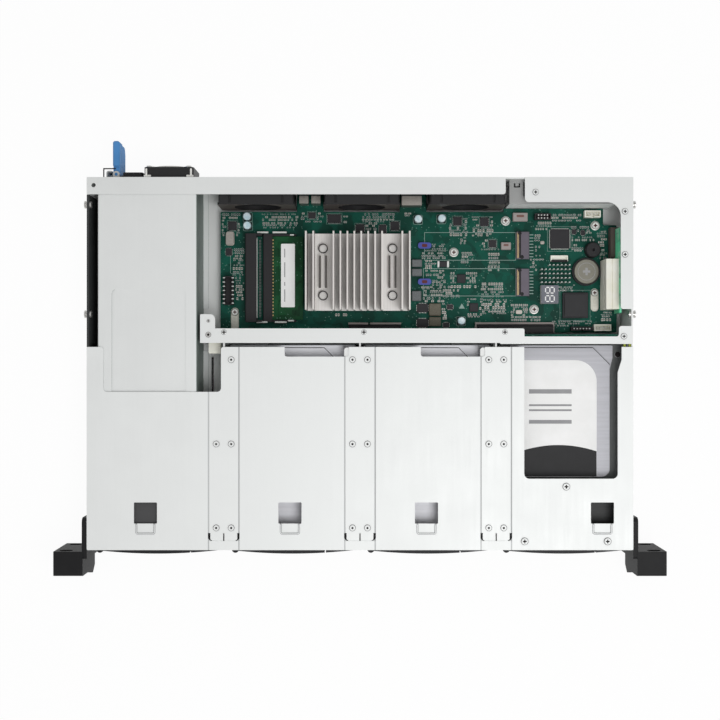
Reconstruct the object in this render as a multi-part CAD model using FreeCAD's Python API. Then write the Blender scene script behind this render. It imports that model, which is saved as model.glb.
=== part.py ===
import FreeCAD, Part
import math
import os
from FreeCAD import Vector

# Short-depth rackmount storage server, one rack unit high, with its main lid off.
# X runs to the right seen from the front, Y to the rear, Z up, in millimetres.
# The origin is the middle of the underside of the chassis.

# Clearances
FIT = 0.05
GAP = 0.3

# Hard drives and the trays that carry them
BAYS = 4
DRIVE_W = 101.6
DRIVE_L = 147.0
CASTING_H = 23.5
COVER_T = 1.8
PANEL_T = 0.8
COVER_INSET = 12.3
COVER_REAR_INSET = 10.0
COVER_CHAMFER = 12.5
COVER_FRONT = 43.2
DRIVE_GAP = 0.2
TRAY_WALL = 1.3
TRAY_SIDE_H = 17.0
TRAY_FLOOR = 1.4
TRAY_GAP = 0.7
BEZEL_RECESS = 1.5
BEZEL_WALL = 2.6
BEZEL_SKIN = 1.8
BEZEL_D = 12.7
BEZEL_TOP_GAP = 0.5
FILLER_L = 92.0
FILLER_DECK_L = 26.0
FILLER_DECK_T = 1.4

# Tray lever, its pin and the release button beside it
LEVER_H = 24.4
LEVER_LIFT = 7.6
LEVER_PIN_R = 1.5
LEVER_BARREL_R = 2.6
LEVER_PIN_INSET = 7.3
LEVER_LUG_H = 3.0
FRONT_BULGE = 2.7
FRONT_STAND_OFF = 1.5
BUTTON_W = 21.2
BUTTON_INSET = 4.6
BUTTON_D = 4.5
BUTTON_TRAVEL = 1.8
VENT_W = 3.0
VENT_PITCH = 5.5
VENT_COUNT = 11
LEVER_VENT_H = 13.0

# Sheet metal chassis
SHEET = 1.2
BEND = 1.8
BODY_D = 293.5
BODY_H = 43.6
RIM_W = 6.0
LIP_H = 1.5
REAR_FLANGE_W = 13.5
DIVIDER_TOP_W = 24.9
DIVIDER_FOOT_W = 16.0
CHANNEL_DIP = 0.5
CHANNEL_FRONT = 7.2
CHANNEL_SLOPE = 1.0
CHANNEL_SLOT = 1.9
CHANNEL_SLOT_L = 6.2
CHANNEL_TAIL = 3.2
WINDOW_W = 18.2
WINDOW_D = 16.7
WINDOW_FRONT = 20.8
WINDOW_TAB_W = 15.4
WINDOW_TAB_D = 8.4
WINDOW_SHIFTS = (-8.0, -1.5, -1.3, 29.9)
CAGE_D = 159.8
NOTCH_D = 7.6
NOTCH_LEFT = 5.7
NOTCH_RIGHT = 44.8
ACCESS_LEFT = 31.6
ACCESS_RIGHT = 42.0
ACCESS_EAR = 3.1
ACCESS_D = 103.7
STUD_R = 1.8
STUD_HEAD_R = 3.0
STUD_PROUD = 2.6
STUD_Z = 38.6
STUD_REAR_INSETS = (21.2, 107.7)

# Rack ears, to the 19 inch rack standard
EAR_W = 26.3
RACK_HOLE_INSET = 8.75
RACK_HOLE_PITCH = 31.75
RACK_SLOT_W = 6.8
RACK_SLOT_L = 10.5
EAR_SIDE = 3.2
EAR_BACK = 1.2
EAR_D = 19.4
EAR_CHIN = 3.5
EAR_CHIN_TOP = 26.0
EAR_CHIN_LOW = 7.0
EAR_FLANGE_T = 4.0
EAR_FLANGE_D = 25.4
POWER_R = 3.6
POWER_TRAVEL = 1.2

# Power supply module and its cage
PSU_W = 74.6
PSU_LIFT = 0.4
PSU_PROUD = 0.6
PSU_SIDE_GAP = 0.6
PSU_CAGE_INSET = 8.3
PSU_CAGE_LAP = 48.3
PSU_CAGE_DROP = 0.5
PSU_FOOT = 4.0
PSU_NOTCH_LAP = 13.0
PANEL_DIP = 0.6
PANEL_INSET = 11.0
PANEL_REAR_INSET = 86.0
PANEL_FRONT_INSET = 4.0
DOCK_W = 36.0
DOCK_H = 16.0
DOCK_D = 18.0
DOCK_GAP = 0.4
TONGUE_W = 28.0
TONGUE_L = 8.0
TONGUE_T = 1.6
PSU_FAN_W = 39.2
PSU_FAN_H = 36.6
PSU_FAN_D = 8.1
PSU_FAN_R = 17.0
PSU_FAN_TUBE = 1.0
PSU_FAN_DEPTH = 13.4
PSU_FAN_INSET = 1.3
INLET_W = 18.0
INLET_H = 28.0
INLET_CAVITY_W = 14.6
INLET_CAVITY_H = 23.5
INLET_PROUD = 4.6
INLET_FLANGE = 2.0
INLET_D = 17.0
INLET_INSET = 32.4
LATCH_T = 5.2
LATCH_H = 22.0
LATCH_L = 26.0
LATCH_PIN_R = 1.2
LATCH_BARREL_R = 2.6
LATCH_GAP = 1.5

# Chassis fans
FANS = 3
FAN_PITCH = 83.6
FAN_FIRST = 31.4
FAN_W = 59.2
FAN_H = 39.2
FAN_D = 19.7
FAN_LIP = 1.0
FAN_LIP_D = 1.7
FAN_R = 18.9
FAN_GROOVE = 20.8
HUB_R = 10.5
STATOR_R = 9.5
STATOR_D = 3.0
SHAFT_R = 1.5
BLADES = 7
BLADE_TIP_GAP = 1.2

# Boards
BOARD_T = 1.6
BOARD_Z = 8.4
BOARD_LEFT_GAP = 14.9
BOARD_RIGHT_GAP = 6.0
BOARD_REAR_INSET = 23.35
SLOT_WALL_INSET = 20.35
BACKPLANE_Z = 1.5
BACKPLANE_DROP = 1.9
SOCKET_D = 6.1
SOCKET_W = 42.0
SOCKET_GAP = 0.45
SPACER_R = 2.8
PAD_SLOT_W = 6.6
PAD_SLOT_L = 19.0
PAD_SCREW_END = 3.6
SPACER_BORE_R = 1.5

# Heatsink: an extruded comb with room between the fins for its four push pins
SINK_W = 83.5
SINK_D = 62.2
SINK_BASE = 4.0
SINK_TOP = 39.0
SINK_REAR_INSET = 18.5
SINK_LEFT = 70.1
FIN_T = 1.3
EDGE_FIN_PITCH = 5.85
INNER_FINS = 8
INNER_FIN_PITCH = 5.49
PIN_X = 28.0
PIN_Y = 18.95
PIN_HEAD_R = 3.35
PIN_R = 1.6
RIB_L = 26.0
RIB_H = 5.0
PROCESSOR_W = 30.0
PROCESSOR_H = 3.4

# Rear ports and the expansion slot beside them
USB_XS = (6.1, 15.8)
USB_W = 7.2
USB_H = 14.4
USB_D = 18.6
LAN_X = 9.2
LAN_W = 16.0
LAN_H = 13.4
LAN_D = 20.0
PORT_PROUD = 0.4
PORT_WALL = 0.8
EXPANSION_LEFT = 83.0
EXPANSION_W = 76.0
EXPANSION_Z = 13.0
EXPANSION_H = 16.0

# Bar behind the drives and the plate over the rear right corner
CROSSBAR_GAP = 3.2
CROSSBAR_W = 11.4
CROSSBAR_EAR = 11.8
CROSSBAR_EAR_D = 22.6
CROSSBAR_RIGHT = 85.6
CROSSBAR_DROP = 9.4
CORNER_LEFT = 85.2
CORNER_W = 9.8
CORNER_REAR_W = 19.7
CORNER_FRONT = 29.9

# Memory, cards, coin cell and riser on the main board
MEMORY_L = 71.4
MEMORY_REAR = 18.4
MEMORY_CARD_W = 28.5
MEMORY_CARD_T = 1.0
LOW_SOCKET = (34.9, 7.7, 5.0, 2.8)
HIGH_SOCKET = (20.9, 9.0, 9.5, 6.8)
CARD_SOCKET_L = 22.0
COIN_R = 10.0
COIN_T = 3.2
COIN_LIFT = 2.2
RISER_X = 2.2
RISER_REAR = 15.2
RISER_SLOT_L = 22.6
RISER_L = 68.0
RISER_T = 1.6
RISER_TOP = 35.0
EXPANSION_SOCKET_L = 40.0
EXPANSION_SOCKET_W = 10.4

# Places that follow from the driving sizes
PITCH = DRIVE_W + 2 * (DRIVE_GAP + TRAY_WALL + TRAY_GAP) + SHEET
BODY_W = BAYS * PITCH + SHEET
RACK_W = BODY_W + 2 * EAR_W
RACK_HOLE_SPAN = RACK_W - 2 * RACK_HOLE_INSET
LEFT = -BODY_W / 2
RIGHT = BODY_W / 2
FRONT = -BODY_D / 2
REAR = BODY_D / 2
LID_Z = BODY_H - SHEET
CAGE_REAR = FRONT + CAGE_D
FOOT_TOP = 2 * SHEET
TRAY_Z = FOOT_TOP + GAP
TRAY_HALF = DRIVE_W / 2 + DRIVE_GAP + TRAY_WALL
BEZEL_TOP = LID_Z - CHANNEL_DIP - SHEET - BEZEL_TOP_GAP
DRIVE_Z = TRAY_Z + TRAY_FLOOR
BEZEL_FRONT = FRONT + BEZEL_RECESS
BEZEL_REAR = BEZEL_FRONT + BEZEL_D
DRIVE_FRONT = BEZEL_REAR + 0.5
DRIVE_REAR = DRIVE_FRONT + DRIVE_L
LEVER_Z = TRAY_Z + LEVER_LIFT
LEVER_TOP = LEVER_Z + LEVER_H
PIN_AXIS_Y = FRONT - 0.2
BACKPLANE_Y = DRIVE_REAR + SOCKET_GAP + SOCKET_D
BACKPLANE_TOP = LID_Z - BACKPLANE_DROP
PSU_CAGE_LEFT = LEFT + PSU_CAGE_INSET
PSU_LEFT = PSU_CAGE_LEFT + SHEET + PSU_SIDE_GAP
PSU_RIGHT = PSU_LEFT + PSU_W
PSU_CAGE_RIGHT = PSU_RIGHT + PSU_SIDE_GAP + SHEET
PSU_X = (PSU_LEFT + PSU_RIGHT) / 2
PSU_CAGE_TOP = LID_Z - PSU_CAGE_DROP
PSU_CAGE_UNDER = PSU_CAGE_TOP - SHEET
PSU_Z = SHEET + PSU_LIFT
PSU_TOP = PSU_CAGE_UNDER - PANEL_DIP - GAP
PSU_H = PSU_TOP - PSU_Z
PSU_CAGE_REAR = REAR - SHEET - GAP
PSU_CAGE_FRONT = CAGE_REAR - PSU_CAGE_LAP
PSU_REAR = REAR + PSU_PROUD
PSU_FRONT = PSU_CAGE_FRONT + SHEET + DOCK_D + DOCK_GAP
PSU_NOTCH = PSU_CAGE_FRONT + PSU_NOTCH_LAP
PSU_FAN_X = PSU_RIGHT - PSU_FAN_INSET - PSU_FAN_W / 2
PSU_FAN_Z = PSU_Z + PSU_H / 2
INLET_X = PSU_RIGHT - INLET_INSET - INLET_W
LATCH_X = INLET_X - INLET_W / 2 - LATCH_GAP - LATCH_T / 2
LATCH_Y = PSU_REAR + LATCH_BARREL_R + 0.5
LATCH_Z = PSU_FAN_Z - LATCH_H / 2
BOARD_LEFT = PSU_CAGE_RIGHT + BOARD_LEFT_GAP
BOARD_RIGHT = RIGHT - BOARD_RIGHT_GAP
BOARD_FRONT = BACKPLANE_Y + BOARD_T + 2.1
BOARD_REAR = REAR - BOARD_REAR_INSET
BOARD_TOP = BOARD_Z + BOARD_T
FAN_Z = SHEET + 0.4 + FAN_H / 2
FAN_REAR = REAR - SHEET - 0.25
FAN_FRONT = FAN_REAR - FAN_D
SINK_X = BOARD_LEFT + SINK_LEFT + SINK_W / 2
SINK_Y = BOARD_REAR - SINK_REAR_INSET - SINK_D / 2
SINK_Z = BOARD_TOP + PROCESSOR_H
RACK_Z = BODY_H / 2
DEPTH = {"xy": Vector(0, 0, 1), "xz": Vector(0, 1, 0), "yz": Vector(1, 0, 0)}


def spot(plane, u, v, w):
    """A point of an outline seen from above (xy), from the front (xz) or from the right (yz)."""
    if plane == "xy":
        return Vector(u, v, w)
    if plane == "xz":
        return Vector(u, w, v)
    return Vector(w, u, v)


def round_corner(before, here, after, radius):
    """Start, middle and end of the arc that rounds the corner here of an outline."""
    back = (before - here).normalize()
    ahead = (after - here).normalize()
    half = back.getAngle(ahead) / 2
    inward = (back + ahead).normalize()
    reach = radius / math.tan(half)
    middle = here + inward * (radius / math.sin(half) - radius)
    return here + back * reach, middle, here + ahead * reach


def prism(outline, plane, low, high):
    """Extrude an outline, whose points are (u, v) or (u, v, corner radius), from low to high."""
    points = [spot(plane, corner[0], corner[1], low) for corner in outline]
    stops = []
    for i, corner in enumerate(outline):
        if len(corner) > 2 and corner[2] > 0:
            stops.append(round_corner(points[i - 1], points[i], points[(i + 1) % len(points)], corner[2]))
        else:
            stops.append((points[i], None, points[i]))
    edges = []
    for i, (start, middle, end) in enumerate(stops):
        if middle is not None:
            edges.append(Part.Arc(start, middle, end).toShape())
        following = stops[(i + 1) % len(stops)][0]
        if (following - end).Length > 1e-6:
            edges.append(Part.LineSegment(end, following).toShape())
    return Part.Face(Part.Wire(edges)).extrude(DEPTH[plane] * (high - low))


def block(x0, x1, y0, y1, z0, z1):
    return Part.makeBox(x1 - x0, y1 - y0, z1 - z0, Vector(x0, y0, z0))


def rounded_block(x0, x1, y0, y1, z0, z1, radius):
    """A block with its four upright edges rounded."""
    outline = [(x0, y0, radius), (x1, y0, radius), (x1, y1, radius), (x0, y1, radius)]
    return prism(outline, "xy", z0, z1)


def rod(radius, start, along, length):
    return Part.makeCylinder(radius, length, start, DEPTH[along])


def upright(radius, x, y, z0, z1):
    return rod(radius, Vector(x, y, z0), "xy", z1 - z0)


def joined(shapes):
    return shapes[0].multiFuse(shapes[1:]).removeSplitter()


def bay_x(bay):
    return (bay - (BAYS - 1) / 2) * PITCH


def divider_x(divider):
    return LEFT + SHEET / 2 + (divider + 1) * PITCH


def from_left(offset):
    return BOARD_LEFT + offset


def from_right(offset):
    return BOARD_RIGHT - offset


def from_rear(offset):
    return BOARD_REAR - offset


def rail_stud_places():
    return [(side, REAR - inset) for side in (-1, 1) for inset in STUD_REAR_INSETS]


def make_base_tray():
    """Bottom and both sides bent from one sheet, with rims under the cage cover."""
    inner = BEND - SHEET
    section = [
        (LEFT, 0, BEND), (RIGHT, 0, BEND), (RIGHT, LID_Z), (RIGHT - SHEET, LID_Z),
        (RIGHT - SHEET, SHEET, inner), (LEFT + SHEET, SHEET, inner), (LEFT + SHEET, LID_Z), (LEFT, LID_Z)]
    tray = prism(section, "xz", FRONT, REAR)
    rims = []
    for side in (-1, 1):
        wall = side * (RIGHT - SHEET)
        edge = wall - side * RIM_W
        front = FRONT + SHEET + GAP
        rim = [(wall, front), (wall, CAGE_REAR), (edge, CAGE_REAR, 2), (edge, front, 2)]
        rims.append(prism(rim, "xy", LID_Z - SHEET, LID_Z))
    holes = []
    for side, y in rail_stud_places():
        start = Vector(min(side * RIGHT, side * (RIGHT - SHEET)), y, STUD_Z)
        holes.append(rod(STUD_R + FIT, start, "yz", SHEET))
    cable_slot_x = PSU_CAGE_RIGHT + 7.5
    holes.append(rounded_block(cable_slot_x - 1, cable_slot_x + 1, PSU_CAGE_FRONT, CAGE_REAR, 0, SHEET, 0.9))
    return joined([tray] + rims).cut(holes)


def make_rail_studs():
    """Shouldered studs on both sides that hook into slide rails."""
    studs = []
    for side, y in rail_stud_places():
        wall = side * RIGHT
        reach = STUD_PROUD + SHEET + 1.6
        tip = wall + side * STUD_PROUD
        shank = rod(STUD_R, Vector(min(tip, tip - side * reach), y, STUD_Z), "yz", reach)
        head = rod(STUD_HEAD_R, Vector(min(tip, tip - side * 1.0), y, STUD_Z), "yz", 1.0)
        inside = wall - side * SHEET
        collar = rod(STUD_HEAD_R - 0.2, Vector(min(inside, inside - side * 1.6), y, STUD_Z), "yz", 1.6)
        studs.append(joined([shank, head, collar]))
    return studs


def fan_x(fan):
    return BOARD_LEFT + FAN_FIRST + fan * FAN_PITCH


def fan_vents(x):
    """Upright vent slots inside the fan's circle, with a bar across the middle."""
    width = 2.6
    pitch = 4.0
    circle = FAN_R - 1.2
    slots = []
    for i in range(-4, 5):
        half = math.sqrt(circle ** 2 - (i * pitch) ** 2)
        u0 = x + i * pitch - width / 2
        for side in (-1, 1):
            v0, v1 = sorted((FAN_Z + side * 1.4, FAN_Z + side * half))
            slots.append(block(u0, u0 + width, REAR - SHEET, REAR, v0, v1))
    return slots


def tongue_edges(fan):
    """The tongue of the main board between one fan and the next."""
    half = FAN_W / 2 + FAN_LIP + 0.4
    return fan_x(fan) + half, fan_x(fan + 1) - half


def port_places():
    """Left edge, width, height and depth of each rear port."""
    usb_left = tongue_edges(0)[0]
    lan_left = tongue_edges(1)[0]
    ports = [(usb_left + x - USB_W / 2, USB_W, USB_H, USB_D) for x in USB_XS]
    ports.append((lan_left + LAN_X - LAN_W / 2, LAN_W, LAN_H, LAN_D))
    return ports


def make_rear_panel():
    """Rear wall with the power supply opening, fan vents, port holes and a top flange."""
    x0 = LEFT + SHEET
    x1 = RIGHT - SHEET
    wall = prism([(x0, SHEET, BEND), (x1, SHEET, BEND), (x1, LID_Z), (x0, LID_Z)], "xz", REAR - SHEET, REAR)
    holes = [block(PSU_LEFT - 0.4, PSU_RIGHT + 0.4, REAR - 2 * SHEET, REAR + 1, 0, PSU_TOP + GAP + 0.4)]
    for fan in range(FANS):
        holes += fan_vents(fan_x(fan))
    for left, width, height, depth in port_places():
        holes.append(block(left - GAP, left + width + GAP, REAR - 2 * SHEET, REAR + 1,
                           BOARD_TOP - GAP, BOARD_TOP + height + GAP))
    slot_left = BOARD_RIGHT - EXPANSION_LEFT
    slot_right = slot_left + EXPANSION_W
    slot_top = EXPANSION_Z + EXPANSION_H
    slot = [(slot_left, EXPANSION_Z, 1.5), (slot_right, EXPANSION_Z, 1.5),
            (slot_right, slot_top, 1.5), (slot_left, slot_top, 1.5)]
    holes.append(prism(slot, "xz", REAR - 2 * SHEET, REAR + 1))
    flange_end = fan_x(FANS - 1) + FAN_W / 2
    edge = REAR - REAR_FLANGE_W
    flange = prism([(LEFT, edge), (flange_end, edge, 2), (flange_end, REAR), (LEFT, REAR)],
                   "xy", LID_Z, BODY_H)
    tabs = []
    for side in (-1, 1):
        x0, x1 = sorted((side * (RIGHT - SHEET), side * (RIGHT - 2 * SHEET)))
        profile = [(REAR - SHEET, 4), (REAR - SHEET, 30), (REAR - 12, 30, 3), (REAR - 12, 4, 3)]
        tabs.append(prism(profile, "yz", x0, x1))
    flange = flange.cut(upright(1.7, LEFT + 5.4, REAR - 6.4, LID_Z, BODY_H))
    return joined([wall.cut(holes), flange] + tabs)


def cover_outline():
    """The cage cover from above, with its notches over the power supply and the drives' rear ends."""
    last = bay_x(BAYS - 1)
    access = CAGE_REAR - ACCESS_D
    outline = [
        (LEFT, FRONT, 1), (RIGHT, FRONT, 1), (RIGHT, CAGE_REAR),
        (last + ACCESS_RIGHT + ACCESS_EAR, CAGE_REAR), (last + ACCESS_RIGHT + ACCESS_EAR, CAGE_REAR - 10),
        (last + ACCESS_RIGHT, CAGE_REAR - 20), (last + ACCESS_RIGHT, access, 4),
        (last - ACCESS_LEFT, access, 4), (last - ACCESS_LEFT, CAGE_REAR)]
    for bay in (2, 1):
        x = bay_x(bay)
        outline += [
            (x + NOTCH_RIGHT, CAGE_REAR), (x + NOTCH_RIGHT, CAGE_REAR - NOTCH_D, 2),
            (x - NOTCH_LEFT, CAGE_REAR - NOTCH_D, 2), (x - NOTCH_LEFT, CAGE_REAR)]
    notch_right = divider_x(0) - 2.2
    notch_left = LEFT + 12.9
    outline += [
        (notch_right, CAGE_REAR, 2), (notch_right, PSU_NOTCH, 3),
        (notch_left, PSU_NOTCH, 3), (notch_left, CAGE_REAR, 2), (LEFT, CAGE_REAR)]
    return outline


def channel_block(divider, low, high):
    half = DIVIDER_TOP_W / 2
    x = divider_x(divider)
    return block(x - half, x + half, FRONT + CHANNEL_FRONT, CAGE_REAR + 1, low, high)


def channel_sheet(divider):
    """A pressed channel: the sheet bent down between sloped sides."""
    x = divider_x(divider)
    half = DIVIDER_TOP_W / 2
    flat = half - CHANNEL_SLOPE
    low = LID_Z - CHANNEL_DIP
    section = [
        (x - half, BODY_H), (x - flat, BODY_H - CHANNEL_DIP), (x + flat, BODY_H - CHANNEL_DIP),
        (x + half, BODY_H), (x + half, LID_Z), (x + flat, low), (x - flat, low), (x - half, LID_Z)]
    return prism(section, "xz", FRONT + CHANNEL_FRONT, CAGE_REAR)


def channel_slots(divider):
    """The lanced, hooked corners and the middle slit at the front end of a pressed channel."""
    x = divider_x(divider)
    y0 = FRONT + CHANNEL_FRONT
    y1 = y0 + CHANNEL_SLOT_L
    low = LID_Z - CHANNEL_DIP
    hook = y0 + CHANNEL_SLOT / 3
    slots = [block(x - 0.5, x + 0.5, y0, y1, low, BODY_H)]
    for side in (-1, 1):
        edge = x + side * DIVIDER_TOP_W / 2
        inner = edge - side * CHANNEL_SLOT
        tail = edge - side * CHANNEL_TAIL
        outline = [(edge, y1), (edge, y0, 3), (tail, y0), (tail, hook), (inner, hook, 1), (inner, y1)]
        slots.append(prism(outline, "xy", low, BODY_H))
    return slots


def window_block(bay, low, high):
    x = bay_x(bay) + WINDOW_SHIFTS[bay]
    y = FRONT + WINDOW_FRONT
    return rounded_block(x - WINDOW_W / 2, x + WINDOW_W / 2, y, y + WINDOW_D, low, high, 0.8)


def window_tab(bay, low, high):
    """The pressed finger tab in front of a latch window."""
    x = bay_x(bay) + WINDOW_SHIFTS[bay]
    y = FRONT + WINDOW_FRONT
    half = WINDOW_TAB_W / 2
    front = y - WINDOW_TAB_D
    return prism([(x - half, front, 3), (x + half, front, 3), (x + half, y), (x - half, y)], "xy", low, high)


def make_drive_cage_cover():
    """Top plate of the drive cage, with pressed channels, latch windows and a front lip."""
    outline = cover_outline()
    low = LID_Z - CHANNEL_DIP
    plate = prism(outline, "xy", LID_Z, BODY_H)
    whole = prism(outline, "xy", low, BODY_H)
    zones = [channel_block(divider, low, BODY_H) for divider in range(BAYS - 1)]
    zones += [window_tab(bay, low, BODY_H) for bay in range(BAYS)]
    dips = [whole.common(channel_sheet(divider)) for divider in range(BAYS - 1)]
    dips += [window_tab(bay, low, BODY_H - CHANNEL_DIP) for bay in range(BAYS)]
    lip = block(LEFT + SHEET + GAP, RIGHT - SHEET - GAP, FRONT, FRONT + SHEET, LID_Z - LIP_H, LID_Z)
    cover = joined([plate.cut(zones)] + dips + [lip])
    holes = [window_block(bay, low, BODY_H) for bay in range(BAYS)]
    for divider in range(BAYS - 1):
        holes += channel_slots(divider)
    return cover.cut(holes)


def make_bay_dividers():
    """Three upright walls between the bays, each with a foot and a top flange behind the cover's slots."""
    top = LID_Z - CHANNEL_DIP
    front = FRONT + SHEET + GAP
    flange_front = FRONT + CHANNEL_FRONT + CHANNEL_SLOT_L + GAP
    rear = DRIVE_REAR + 5.6
    dividers = []
    for divider in range(BAYS - 1):
        x = divider_x(divider)
        web = prism([(front, SHEET), (rear, SHEET), (rear, top - 8), (rear - 3, top), (front, top)],
                    "yz", x - SHEET / 2, x + SHEET / 2)
        foot = rounded_block(x - DIVIDER_FOOT_W / 2, x + DIVIDER_FOOT_W / 2, front, rear, SHEET, FOOT_TOP, 2)
        flange = rounded_block(x - DIVIDER_TOP_W / 2, x + DIVIDER_TOP_W / 2,
                               flange_front, CAGE_REAR - 0.5, top - SHEET, top, 2)
        if divider == 0:
            flange = flange.cut(block(x - DIVIDER_TOP_W, x - SHEET / 2, PSU_NOTCH - 1, CAGE_REAR, 0, BODY_H))
        dividers.append(joined([web, foot, flange]))
    return dividers


def make_crossbar():
    """Bar across the chassis behind the drives, with a leg at its left end and a stop for the backplane."""
    front = CAGE_REAR + CROSSBAR_GAP
    left = PSU_CAGE_RIGHT + 2.7
    right = RIGHT - CROSSBAR_RIGHT
    rear = front + CROSSBAR_W
    ear = front + CROSSBAR_EAR_D
    outline = [(left, front), (right, front, 1.5), (right, rear, 1.5), (left + CROSSBAR_EAR, rear),
               (left + CROSSBAR_EAR, ear, 4), (left, ear, 1)]
    bar = prism(outline, "xy", LID_Z, BODY_H)
    leg = block(left, left + SHEET, front, ear, SHEET, LID_Z)
    stop = BACKPLANE_Y + BOARD_T + GAP
    drop = block(left + CROSSBAR_EAR + 1, right - 1.5, stop, stop + SHEET, LID_Z - CROSSBAR_DROP, LID_Z)
    return joined([bar, leg, drop])


def make_backplane_bracket():
    """Carries the right end of the crossbar and is screwed to the side wall."""
    front = CAGE_REAR + CROSSBAR_GAP - 0.8
    rear = front + 5.9
    left = divider_x(BAYS - 2) + 3
    wall = RIGHT - SHEET
    low = LID_Z - SHEET
    outline = [(left, front, 1), (wall, front), (wall, rear + 8.2, 2), (wall - 9.8, rear + 8.2, 2),
               (wall - 9.8, rear, 2), (left, rear, 1)]
    tab = prism([(front, LID_Z), (front, LID_Z - 12, 3), (rear + 8.2, LID_Z - 12, 3), (rear + 8.2, LID_Z)],
                "yz", wall - SHEET, wall)
    return joined([prism(outline, "xy", low, LID_Z), tab])


def make_corner_plate():
    """L-shaped stiffener over the rear right corner."""
    left = RIGHT - CORNER_LEFT
    inner = RIGHT - CORNER_W
    rear_leg = REAR - CORNER_REAR_W
    front = CAGE_REAR + CORNER_FRONT
    outline = [(left, REAR), (left, rear_leg, 3), (inner, rear_leg, 11), (inner, front, 2),
               (RIGHT, front), (RIGHT, REAR)]
    return prism(outline, "xy", LID_Z, BODY_H)


def make_slot_cage():
    """Bent sheet round the expansion slot: a front wall, a tab across and a blank on the rear panel."""
    left = BOARD_RIGHT - 90.5
    right = BOARD_RIGHT - 6
    wall_y = REAR - SLOT_WALL_INSET
    top = 36.0
    rear = REAR - SHEET
    wall = block(left, right, wall_y, wall_y + SHEET, SHEET, top)
    flange = rounded_block(left, right, wall_y, wall_y + 6.4, top - SHEET, top, 0.5)
    tab = block(left, left + 11, wall_y, rear, top - SHEET, top)
    lance = block(left + 3.5, left + 8.5, rear - 6, rear - 2.5, top - SHEET, top)
    tab = tab.cut(lance.cut(block(left + 4.7, left + 7.3, rear - 4.8, rear - 2, top - SHEET, top)))
    blank = block(left, right, rear - SHEET, rear, 9, top)
    return joined([wall, flange, tab, blank])


def make_psu_cage():
    """Hat-shaped cover over the power supply, with a sunk stiffening panel and a front wall."""
    left = PSU_CAGE_LEFT
    right = PSU_CAGE_RIGHT
    section = [
        (left - PSU_FOOT, SHEET), (left + SHEET, SHEET), (left + SHEET, PSU_CAGE_UNDER),
        (right - SHEET, PSU_CAGE_UNDER), (right - SHEET, SHEET), (right + PSU_FOOT, SHEET),
        (right + PSU_FOOT, FOOT_TOP), (right, FOOT_TOP), (right, PSU_CAGE_TOP, SHEET),
        (left, PSU_CAGE_TOP, SHEET), (left, FOOT_TOP), (left - PSU_FOOT, FOOT_TOP)]
    hat = prism(section, "xz", PSU_CAGE_FRONT, PSU_CAGE_REAR)
    x0 = left + PANEL_INSET
    x1 = right - PANEL_INSET + 2
    y0 = PSU_CAGE_FRONT + PANEL_FRONT_INSET
    y1 = PSU_CAGE_REAR - PANEL_REAR_INSET
    low = PSU_CAGE_UNDER - PANEL_DIP
    sunk = rounded_block(x0, x1, y0, y1, low, PSU_CAGE_TOP - PANEL_DIP, 5)
    hat = hat.cut(rounded_block(x0, x1, y0, y1, low, PSU_CAGE_TOP, 5))
    crossbar_front = CAGE_REAR + CROSSBAR_GAP
    hat = hat.cut(block(right, right + PSU_FOOT, crossbar_front - 6, crossbar_front + CROSSBAR_EAR_D + 6,
                        SHEET, FOOT_TOP))
    end = block(left + SHEET, right - SHEET, PSU_CAGE_FRONT, PSU_CAGE_FRONT + SHEET, SHEET, PSU_CAGE_UNDER)
    return joined([hat, sunk, end])


def make_rack_ear(side):
    """Moulded rack ear: a block in front of the rack post, with a chin, and a flange on the chassis side."""
    back = FRONT - EAR_BACK
    front = back - EAR_D
    outer = side * RACK_W / 2
    inner = side * (RIGHT + EAR_SIDE)
    profile = [(back, 0), (back, BODY_H), (front, BODY_H, 1.5), (front, EAR_CHIN_TOP),
               (front - EAR_CHIN, EAR_CHIN_LOW, 3), (front + 2.5, 0, 2)]
    x0, x1 = sorted((outer, inner))
    body = prism(profile, "yz", x0, x1)
    flange_y = FRONT + EAR_FLANGE_D
    x0, x1 = sorted((side * RIGHT, side * (RIGHT + EAR_FLANGE_T)))
    flange_top = BODY_H - 0.4
    side_view = [(back - 6, 0.4), (back - 6, flange_top, 2), (flange_y, flange_top, 4), (flange_y, 0.4, 4)]
    flange = prism(side_view, "yz", x0, x1)
    tools = []
    for level in (-1, 1):
        x = side * RACK_HOLE_SPAN / 2
        z = RACK_Z + level * RACK_HOLE_PITCH / 2
        half_l = RACK_SLOT_L / 2
        half_w = RACK_SLOT_W / 2
        slot = [(x - half_l, z - half_w, half_w), (x + half_l, z - half_w, half_w),
                (x + half_l, z + half_w, half_w), (x - half_l, z + half_w, half_w)]
        tools.append(prism(slot, "xz", front - EAR_CHIN - 1, back + 1))
    if side > 0:
        tools.append(rod(POWER_R + 0.15, Vector(power_x(), front - EAR_CHIN, RACK_Z), "xz", EAR_CHIN + 8))
    return joined([body, flange]).cut(tools)


def power_x():
    return (RACK_W / 2 + RIGHT + EAR_SIDE) / 2


def make_power_button():
    """Round push button with a dished face in the right ear."""
    front = FRONT - EAR_BACK - EAR_D - 2.2
    body = rod(POWER_R, Vector(power_x(), front, RACK_Z), "xz", 10.2 - POWER_TRAVEL - 0.4)
    dish = Part.makeSphere(9, Vector(power_x(), front - 8.5, RACK_Z))
    return body.cut(dish)


def spacer_places():
    return [(from_left(190.0), from_rear(32.9)), (from_right(90.4), from_rear(7.3)),
            (from_right(17.4), from_rear(11.2)), (from_right(67.2), from_rear(79.4))]


def pad_places():
    """The screws that sit at the rear end of an oblong slot in the board."""
    return [(from_left(11.6), from_rear(81.6)), (from_right(17.7), from_rear(65.8))]


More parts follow.
